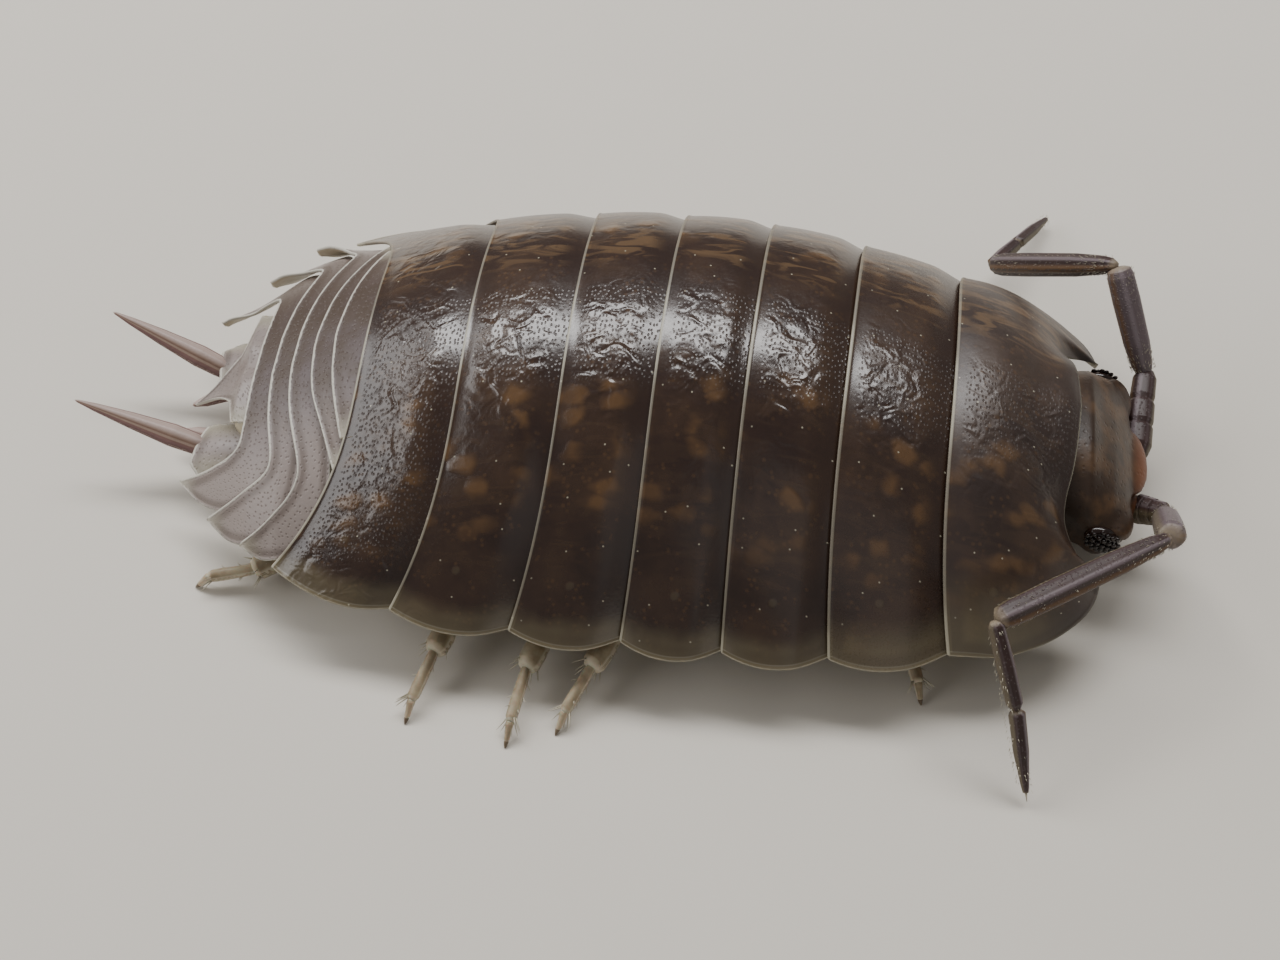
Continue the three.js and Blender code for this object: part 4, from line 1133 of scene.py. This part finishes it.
class WOODLOUSE_OT_belly(bpy.types.Operator):
    """Builds the soft body under the plates as one skin, with a fold between each two segments"""

    bl_idname = "woodlouse.belly"
    bl_label = "Belly"

    def execute(self, context):
        x = np.linspace(BELLY[0]["x"], BELLY[-1]["x"], 140)
        halves = look_up(BELLY, x, "half")[:, None]
        rears = np.array([plate["rear"] for plate in TRUNK])
        fold = np.exp(-((x[:, None] - rears) / FOLD) ** 2).sum(1)
        angle = np.linspace(0, 2 * math.pi, 97)
        c, s = np.cos(angle), np.sin(angle)
        y = halves * np.sign(c) * np.abs(c) ** BELLY_ROUND[0]
        flat = smooth((np.abs(y) / halves - BELLY_HALF) / (1 - BELLY_HALF))
        low = mix(BELLY_Z, BELLY_SIDE_Z, flat) + FOLD * fold[:, None]
        low = mix(BELLY_END_Z, low, smooth((x - x[0]) / BELLY_END)[:, None])
        trunk = BELLY_TOP[0]["x"]
        crest = np.where(x < trunk, look_up(BACK, x, "crest"), look_up(BELLY_TOP, x, "crest"))
        share = np.clip(np.abs(y) / (halves + BELLY_GAP), 0, 1)
        high = mix(BELLY_EAVES, crest[:, None] - BELLY_GAP, 1 - share**VAULT_POWER)
        z = mix(BELLY_SIDE_Z, np.where(s >= 0, high, low), np.abs(s) ** BELLY_ROUND[1])
        points = np.stack([np.broadcast_to(x[:, None], y.shape), y, z], -1)
        finish(surface("belly_skin", capped(points)), "skin", "gill")
        return {"FINISHED"}


class WOODLOUSE_OT_tail(bpy.types.Operator):
    """Builds the tail's five rings and its end plate"""

    bl_idname = "woodlouse.tail"
    bl_label = "Tail plates"

    def execute(self, context):
        thickness = size("tail_thickness"), size("rim_thickness")
        for index, ring in enumerate(TAIL):
            outer = tail_outside(ring, FLAP_LIFT if index > 1 else 0.0)
            piece = shell(f"tail_plate_{index + 1}", outer, *thickness, front_rim=index > 1)
            finish(piece, "tail", "tail", "tail_rings")
        end = shell("tail_end", telson_outside(), *thickness, dull=1.0)
        finish(end, "tail", "tail", "telson")
        return {"FINISHED"}


class WOODLOUSE_OT_tail_feet(bpy.types.Operator):
    """Builds the tail feet: base, long outer spear and short inner branch on each side"""

    bl_idname = "woodlouse.tail_feet"
    bl_label = "Tail feet"

    def execute(self, context):
        for name, side in SIDES.items():
            self.base(name, side)
            root, tip = sided(SPEAR_ROOT, side), SPEAR_TIPS[name]
            shape = dict(ridges=4, depth=0.1, flat=SPEAR_FLAT)
            spear = rod(f"spear_{name}", root, tip, "spear", SPEAR_RADIUS, SPEAR_RADIUS, 32, **shape)
            finish(spear, "spear", "spear", f"uropod_{name}_spear")
            ends = sided(INNER_ROOT, side), sided(INNER_TIP, side)
            radii = INNER_RADIUS, INNER_RADIUS
            inner = rod(f"inner_branch_{name}", *ends, "inner", *radii, flat=SPEAR_FLAT)
            finish(inner, "spear", "spear")
        return {"FINISHED"}

    def base(self, name, side):
        """The flat base that carries both branches."""
        d = UROPOD_BASE
        across = np.linspace(0, 1, d["rows"])[:, None]
        back = np.linspace(0, 1, d["columns"])[None, :]
        y = mix(d["inner"], d["outer"], across) * np.ones_like(back)
        x = d["front"] + (d["rear"] - d["front"] - d["slant"] * (y - d["inner"])) * back
        x = x + d["corner"] * smooth((across - 0.75) / 0.25) * smooth((back - 0.6) / 0.4)
        z = d["top"] - d["crown"] * (2 * across - 0.8) ** 2 - d["droop"] * back**4
        outer = np.stack([x, y * side, z], -1)
        piece = shell(f"foot_base_{name}", outer, d["top"] - d["bottom"] - 0.1, d["rim"], dull=1.0)
        finish(piece, "tail", "tail", f"uropod_{name}_base")


class WOODLOUSE_OT_gills(bpy.types.Operator):
    """Builds the overlapping gill plates under the tail"""

    bl_idname = "woodlouse.gills"
    bl_label = "Gill plates"

    def execute(self, context):
        d = GILLS
        pitch = (d["front"] - d["rear"]) / d["count"]
        v = np.linspace(0, 1, 25)[:, None]
        u = np.linspace(0, 1, 21)[None, :]
        reach = pitch * d["overlap"] * (0.55 + 0.45 * np.sin(math.pi * np.clip(1 - v * 0.75, 0, 1)))
        for name, side in SIDES.items():
            plates = []
            for i in range(d["count"]):
                wide = d["outer"] - d["narrowing"] * i - d["inner"]
                x = d["front"] - i * pitch - reach * u
                y = (d["inner"] + wide * v * (1 - 0.3 * u**2)) * np.ones_like(u)
                z = d["top"] - d["sinking"] * i / d["count"] - 0.16 * u - 0.1 * (v - 0.5) ** 2
                outer = np.stack([x, y * side, z - d["thick"]], -1)
                plates.append(shell(f"gill_{name}_{i + 1}", outer, d["thick"], d["rim"]))
            finish(join(f"gill_plates_{name}", plates), "skin", "gill", f"gills_{name}")
        return {"FINISHED"}


class WOODLOUSE_OT_head(bpy.types.Operator):
    """Builds the head: vault, brow, side lobes, feeler sockets, lip, jaws and their feelers"""

    bl_idname = "woodlouse.head"
    bl_label = "Head"

    def execute(self, context):
        forms = [BROW, LIP]
        for side in SIDES.values():
            forms += [(sided(centre, side), radii, tilt) for centre, radii, tilt in PAIRED_FORMS.values()]
        whole = join("head_skin", [self.vault(), *(ball(*form) for form in forms)])
        add_modifier(whole, "REMESH", mode="VOXEL", voxel_size=HEAD_GRAIN)
        add_modifier(whole, "SMOOTH", factor=0.5, iterations=5)
        finish(whole, "head", "face", "head")
        return {"FINISHED"}

    def vault(self):
        """The head's main form, from the neck to the brow."""
        x = np.linspace(HEAD[0]["x"], HEAD[-1]["x"], 60)[:, None]
        angle = np.linspace(0, 2 * math.pi, 73)[None, :]
        c, s = np.cos(angle), np.sin(angle)
        half, top, bottom = (look_up(HEAD, x, key) for key in ("half", "top", "bottom"))
        y = half * np.sign(c) * np.abs(c) ** HEAD_ROUND[0]
        height = np.where(s > 0, top - HEAD_MIDDLE_Z, HEAD_MIDDLE_Z - bottom)
        rise = height * np.sign(s) * np.abs(s) ** HEAD_ROUND[1]
        lean = FACE_LEAN * smooth((x - FACE_START) / (FACE_END - FACE_START))
        points = np.stack([x + lean * np.minimum(rise, FACE_FLAT), y, HEAD_MIDDLE_Z + rise], -1)
        return surface("vault", capped(points))


class WOODLOUSE_OT_eyes(bpy.types.Operator):
    """Builds each eye as an oval patch of small domes"""

    bl_idname = "woodlouse.eyes"
    bl_label = "Eyes"

    def execute(self, context):
        d = EYE
        turn = Matrix.Rotation(d["tilt"], 3, "Y")
        radii = Vector((d["long"], d["deep"], d["high"]))
        for name, side in SIDES.items():
            centre = Vector((d["x"], d["y"] * side, d["z"]))
            pieces = [ball(centre, radii * Vector(EYE_CORE), d["tilt"])]
            for row, count in enumerate(EYE_ROWS):
                for i in range(count):
                    u = (i - (count - 1) / 2) / EYE_PITCH[0]
                    v = (row - len(EYE_ROWS) // 2) / EYE_PITCH[1]
                    out = math.sqrt(max(1 - u * u - v * v, 0.05))
                    local = turn @ Vector((u * d["long"], 0, v * d["high"]))
                    spot = centre + local + Vector((0, out * d["deep"] * side, 0))
                    pieces.append(ball(spot, DOME, 0, 12))
            finish(join(f"eye_domes_{name}", pieces), "eye", "eye", f"eye_{name}")
        return {"FINISHED"}


class WOODLOUSE_OT_feelers(bpy.types.Operator):
    """Builds both feelers: base articles, two long articles, a whip of two and their bristles"""

    bl_idname = "woodlouse.feelers"
    bl_label = "Feelers"

    def execute(self, context):
        random = np.random.default_rng(7)
        for name in SIDES:
            joints = [np.array(joint) for joint in FEELER_JOINTS[name]]
            self.base(name, *joints[:2])
            for place, (part, sizes) in enumerate(LONG_ARTICLES.items()):
                self.article(name, part, *joints[place + 1:place + 3], *sizes, random)
            self.whip(name, *joints[3:], random)
        return {"FINISHED"}

    def base(self, name, start, end):
        """The three short articles at the face."""
        pieces = [
            rod(f"feeler_{name}_root_{i}", mix(start, end, a), mix(start, end, b), "root", radius, radius, 28)
            for i, (a, b, radius) in enumerate(ROOT_ARTICLES)
        ]
        finish(join(f"feeler_{name}_root", pieces), "feeler", "feeler", f"antenna_{name}_base")

    def article(self, name, part, start, end, slim, wide, pale, random):
        """One long ridged article with its bristles."""
        way = unit(end - start)
        start, end = start + way * LONG_GAP, end - way * LONG_GAP
        depth = RIDGES["depth"] - 0.05 * pale
        shape = dict(around=48, pale=pale, ridges=RIDGES["ridges"], depth=depth)
        piece = rod(f"feeler_{name}_{part}", start, end, "long", slim, wide, **shape)
        finish(piece, "feeler", "feeler", f"antenna_{name}_{part}")
        self.hairs(f"feeler_{name}_{part}_hairs", start, end, slim, wide, LONG_HAIRS, random)

    def whip(self, name, start, notch, tip, random):
        """The two thin end articles and the bristle at the tip."""
        way = unit(tip - notch)
        ends = ((start, notch), (notch - WHIP_OVERLAP * way, tip - WHIP_TIP * way))
        pieces = [
            rod(f"whip_{name}", *pair, outline, *radii, 36, **RIDGES)
            for pair, outline, radii in zip(ends, ("whip", "whip_end"), WHIP_RADII)
        ]
        piece = join(f"feeler_{name}_whip", pieces)
        finish(piece, "feeler", "feeler", f"antenna_{name}_flagellum")
        self.hairs(f"feeler_{name}_whip_hairs", start, tip, random=random, **WHIP_HAIRS)
        root = tip - TUFT["root"] * way
        tuft = bristles(f"feeler_{name}_tip", [root], [way], TUFT["length"], TUFT["radius"])
        finish(tuft, "bristle", "limb")

    def hairs(self, name, start, end, slim, wide, count, random):
        """Short bristles lying forward along an article."""
        way = unit(end - start)
        side = unit(np.cross(UP, way))
        over = np.cross(way, side)
        share = random.uniform(0.04, 0.96, count)
        angle = random.uniform(0, 2 * math.pi, count)
        out = np.cos(angle)[:, None] * side + np.sin(angle)[:, None] * over
        radius = mix(slim, wide, share)[:, None] * 0.97
        roots = start + (end - start) * share[:, None] + out * radius
        lengths = random.uniform(0.55, 1, count) * size("hair_length")
        finish(bristles(name, roots, way + HAIR_SPREAD * out, lengths, HAIR_RADIUS), "bristle", "feeler")


class WOODLOUSE_OT_legs(bpy.types.Operator):
    """Builds the fourteen legs with their spines and claws"""

    bl_idname = "woodlouse.legs"
    bl_label = "Legs"

    def execute(self, context):
        random = np.random.default_rng(11)
        for name, side in SIDES.items():
            for index, (root, foot) in enumerate(zip(HIPS, FEET[name])):
                self.leg(f"{name}_{index + 1}", side, {**root, **foot}, random)
        return {"FINISHED"}

    def leg(self, name, side, leg, random):
        """One leg from hip to claw."""
        hip = sided((*leg["hip"], HIP_Z), side)
        knee = sided((*leg["knee"], KNEE_Z), side)
        shin = sided(leg["shin"], side)
        sole = sided((*leg["foot"], 0.0), side)
        d = LEG_SHARES
        ankle = mix(shin, sole, d["ankle"])
        ankle[2] = ANKLE_Z
        second, third = (mix(knee, shin, d[key]) for key in ("second", "third"))
        joints = (mix(hip, knee, d["hip"]), knee, second, third, shin, ankle, mix(ankle, sole, d["toe"]))
        articles = list(zip(joints, joints[1:], LEG_RADII))
        pieces = []
        for i, (start, end, (slim, wide)) in enumerate(articles):
            way = unit(end - start)
            start, end = start - way * slim * 0.35, end + way * wide * 0.3
            pieces.append(rod(f"leg_{name}_{i}", start, end, "leg", slim, wide, 20, flat=LEG_FLAT))
        finish(join(f"limb_{name}", pieces), "limb", "limb", f"leg_{name}")
        tip = sole + UP * CLAW_REST
        root = mix(ankle, sole, d["claw"])
        claw = rod(f"claw_{name}", root, tip, "claw", CLAW_RADIUS, CLAW_RADIUS, 14)
        finish(claw, "claw", "limb")
        self.spines(name, articles[2:5], random)

    def spines(self, name, articles, random):
        """Stout spines at the ends of the outer articles and fine ones along them."""
        roots, ways, lengths = [], [], []
        for start, end, (slim, wide) in articles:
            way = unit(end - start)
            across = unit(np.cross(UP, way))
            for share in (*random.uniform(0.2, 0.8, 6), *random.uniform(0.9, 0.98, 9)):
                stout = share > 0.85
                angle = random.uniform(0.7 * math.pi, 2.3 * math.pi)
                out = np.cos(angle) * across + np.sin(angle) * UP
                roots.append(start + (end - start) * share + out * wide * 0.75)
                ways.append(way * (1.1 if stout else 0.7) + out * 0.8)
                lengths.append(size("spine_length") * random.uniform(*((0.73, 1) if stout else (0.33, 0.53))))
        roots, ways, lengths = np.array(roots), np.array(ways), np.array(lengths)
        clear = roots[:, 2] + unit(ways)[:, 2] * lengths > 0.02
        piece = bristles(f"spines_{name}", roots[clear], ways[clear], lengths[clear], SPINE_RADIUS)
        finish(piece, "bristle", "limb")


class WOODLOUSE_OT_stage(bpy.types.Operator):
    """Sets the floor, the lights and the camera"""

    bl_idname = "woodlouse.stage"
    bl_label = "Stage"

    def execute(self, context):
        stage = context.scene.woodlouse_stage
        deselect()
        bpy.ops.mesh.primitive_plane_add(size=FLOOR_SIZE, location=(0, 0, 0))
        floor = context.object
        floor.name = "floor"
        colour = tuple(stage.floor)
        worn = tuple(c * 0.98 for c in colour)
        floor.data.materials.append(plain_paint("floor", 1.4, 0.4, 2.0, colour, worn, 0.85, 0.05))
        for light in LIGHTS:
            self.area(**light, watts=getattr(stage, light["name"]))
        world = bpy.data.worlds.new("studio")
        context.scene.world = world
        world.use_nodes = True
        for key, value in SKY.items():
            world.node_tree.nodes["Background"].inputs[key].default_value = value
        self.camera(context, stage.camera_distance)
        return {"FINISHED"}

    def stand(self, thing, place, right, up, back):
        """Sets a light or a camera at a place, with its three axes."""
        thing.matrix_world = Matrix.Translation(place) @ Matrix((right, up, back)).transposed().to_4x4()

    def area(self, name, place, size, watts):
        """A rectangular light aimed at the animal, its long side level."""
        deselect()
        bpy.ops.object.light_add(type="AREA")
        light = bpy.context.object
        light.name = name
        light.data.shape = "RECTANGLE"
        light.data.size, light.data.size_y = size
        light.data.energy = watts
        back = Vector(place).normalized()
        from_end = abs(back.x) > 0.8
        level = Vector((back.y, -back.x, 0) if from_end else (1, 0, -back.x / back.z)).normalized()
        self.stand(light, place, level, back.cross(level), back)

    def camera(self, context, distance):
        """The camera at the photo's angle."""
        azimuth, elevation, roll = (math.radians(angle) for angle in CAMERA_TURN)
        back = Vector((
            math.sin(azimuth) * math.cos(elevation),
            -math.cos(azimuth) * math.cos(elevation),
            math.sin(elevation),
        ))
        level = Vector((math.cos(azimuth), math.sin(azimuth), 0))
        right = level * math.cos(roll) + back.cross(level) * math.sin(roll)
        deselect()
        bpy.ops.object.camera_add()
        camera = context.object
        target = (ORIGIN + Vector(CAMERA_AIM)) * MM
        self.stand(camera, target + back * distance, right, back.cross(right), back)
        camera.data.sensor_width = 36
        camera.data.lens = CAMERA_LENS
        camera.data.clip_start = 0.001
        camera.data.clip_end = 10
        context.scene.camera = camera


OPERATORS = (
    WOODLOUSE_OT_trunk,
    WOODLOUSE_OT_belly,
    WOODLOUSE_OT_tail,
    WOODLOUSE_OT_tail_feet,
    WOODLOUSE_OT_gills,
    WOODLOUSE_OT_head,
    WOODLOUSE_OT_eyes,
    WOODLOUSE_OT_feelers,
    WOODLOUSE_OT_legs,
    WOODLOUSE_OT_stage,
)


class WOODLOUSE_PT_panel(bpy.types.Panel):
    """Lists the pieces and their settings"""

    bl_idname = "WOODLOUSE_PT_panel"
    bl_label = "Woodlouse"
    bl_space_type = "VIEW_3D"
    bl_region_type = "UI"
    bl_category = "Woodlouse"

    def draw(self, context):
        for operator in OPERATORS:
            self.layout.operator(operator.bl_idname)
        for group in SETTINGS:
            settings = getattr(context.scene, group)
            for key in settings.__annotations__:
                self.layout.prop(settings, key)


SETTINGS = dict(
    woodlouse_sizes=WoodlouseSizes,
    woodlouse_colours=WoodlouseColours,
    woodlouse_stage=WoodlouseStage,
)
CLASSES = (*SETTINGS.values(), *OPERATORS, WOODLOUSE_PT_panel)


def register():
    """Registers the settings, the operators and the panel."""
    for each in CLASSES:
        bpy.utils.register_class(each)
    for name, group in SETTINGS.items():
        setattr(bpy.types.Scene, name, bpy.props.PointerProperty(type=group))


def unregister():
    """Takes them away again."""
    for name in SETTINGS:
        delattr(bpy.types.Scene, name)
    for each in reversed(CLASSES):
        bpy.utils.unregister_class(each)


def main():
    """Builds every piece in order."""
    register()
    for operator in OPERATORS:
        group, name = operator.bl_idname.split(".")
        getattr(getattr(bpy.ops, group), name)()


if __name__ == "__main__":
    main()
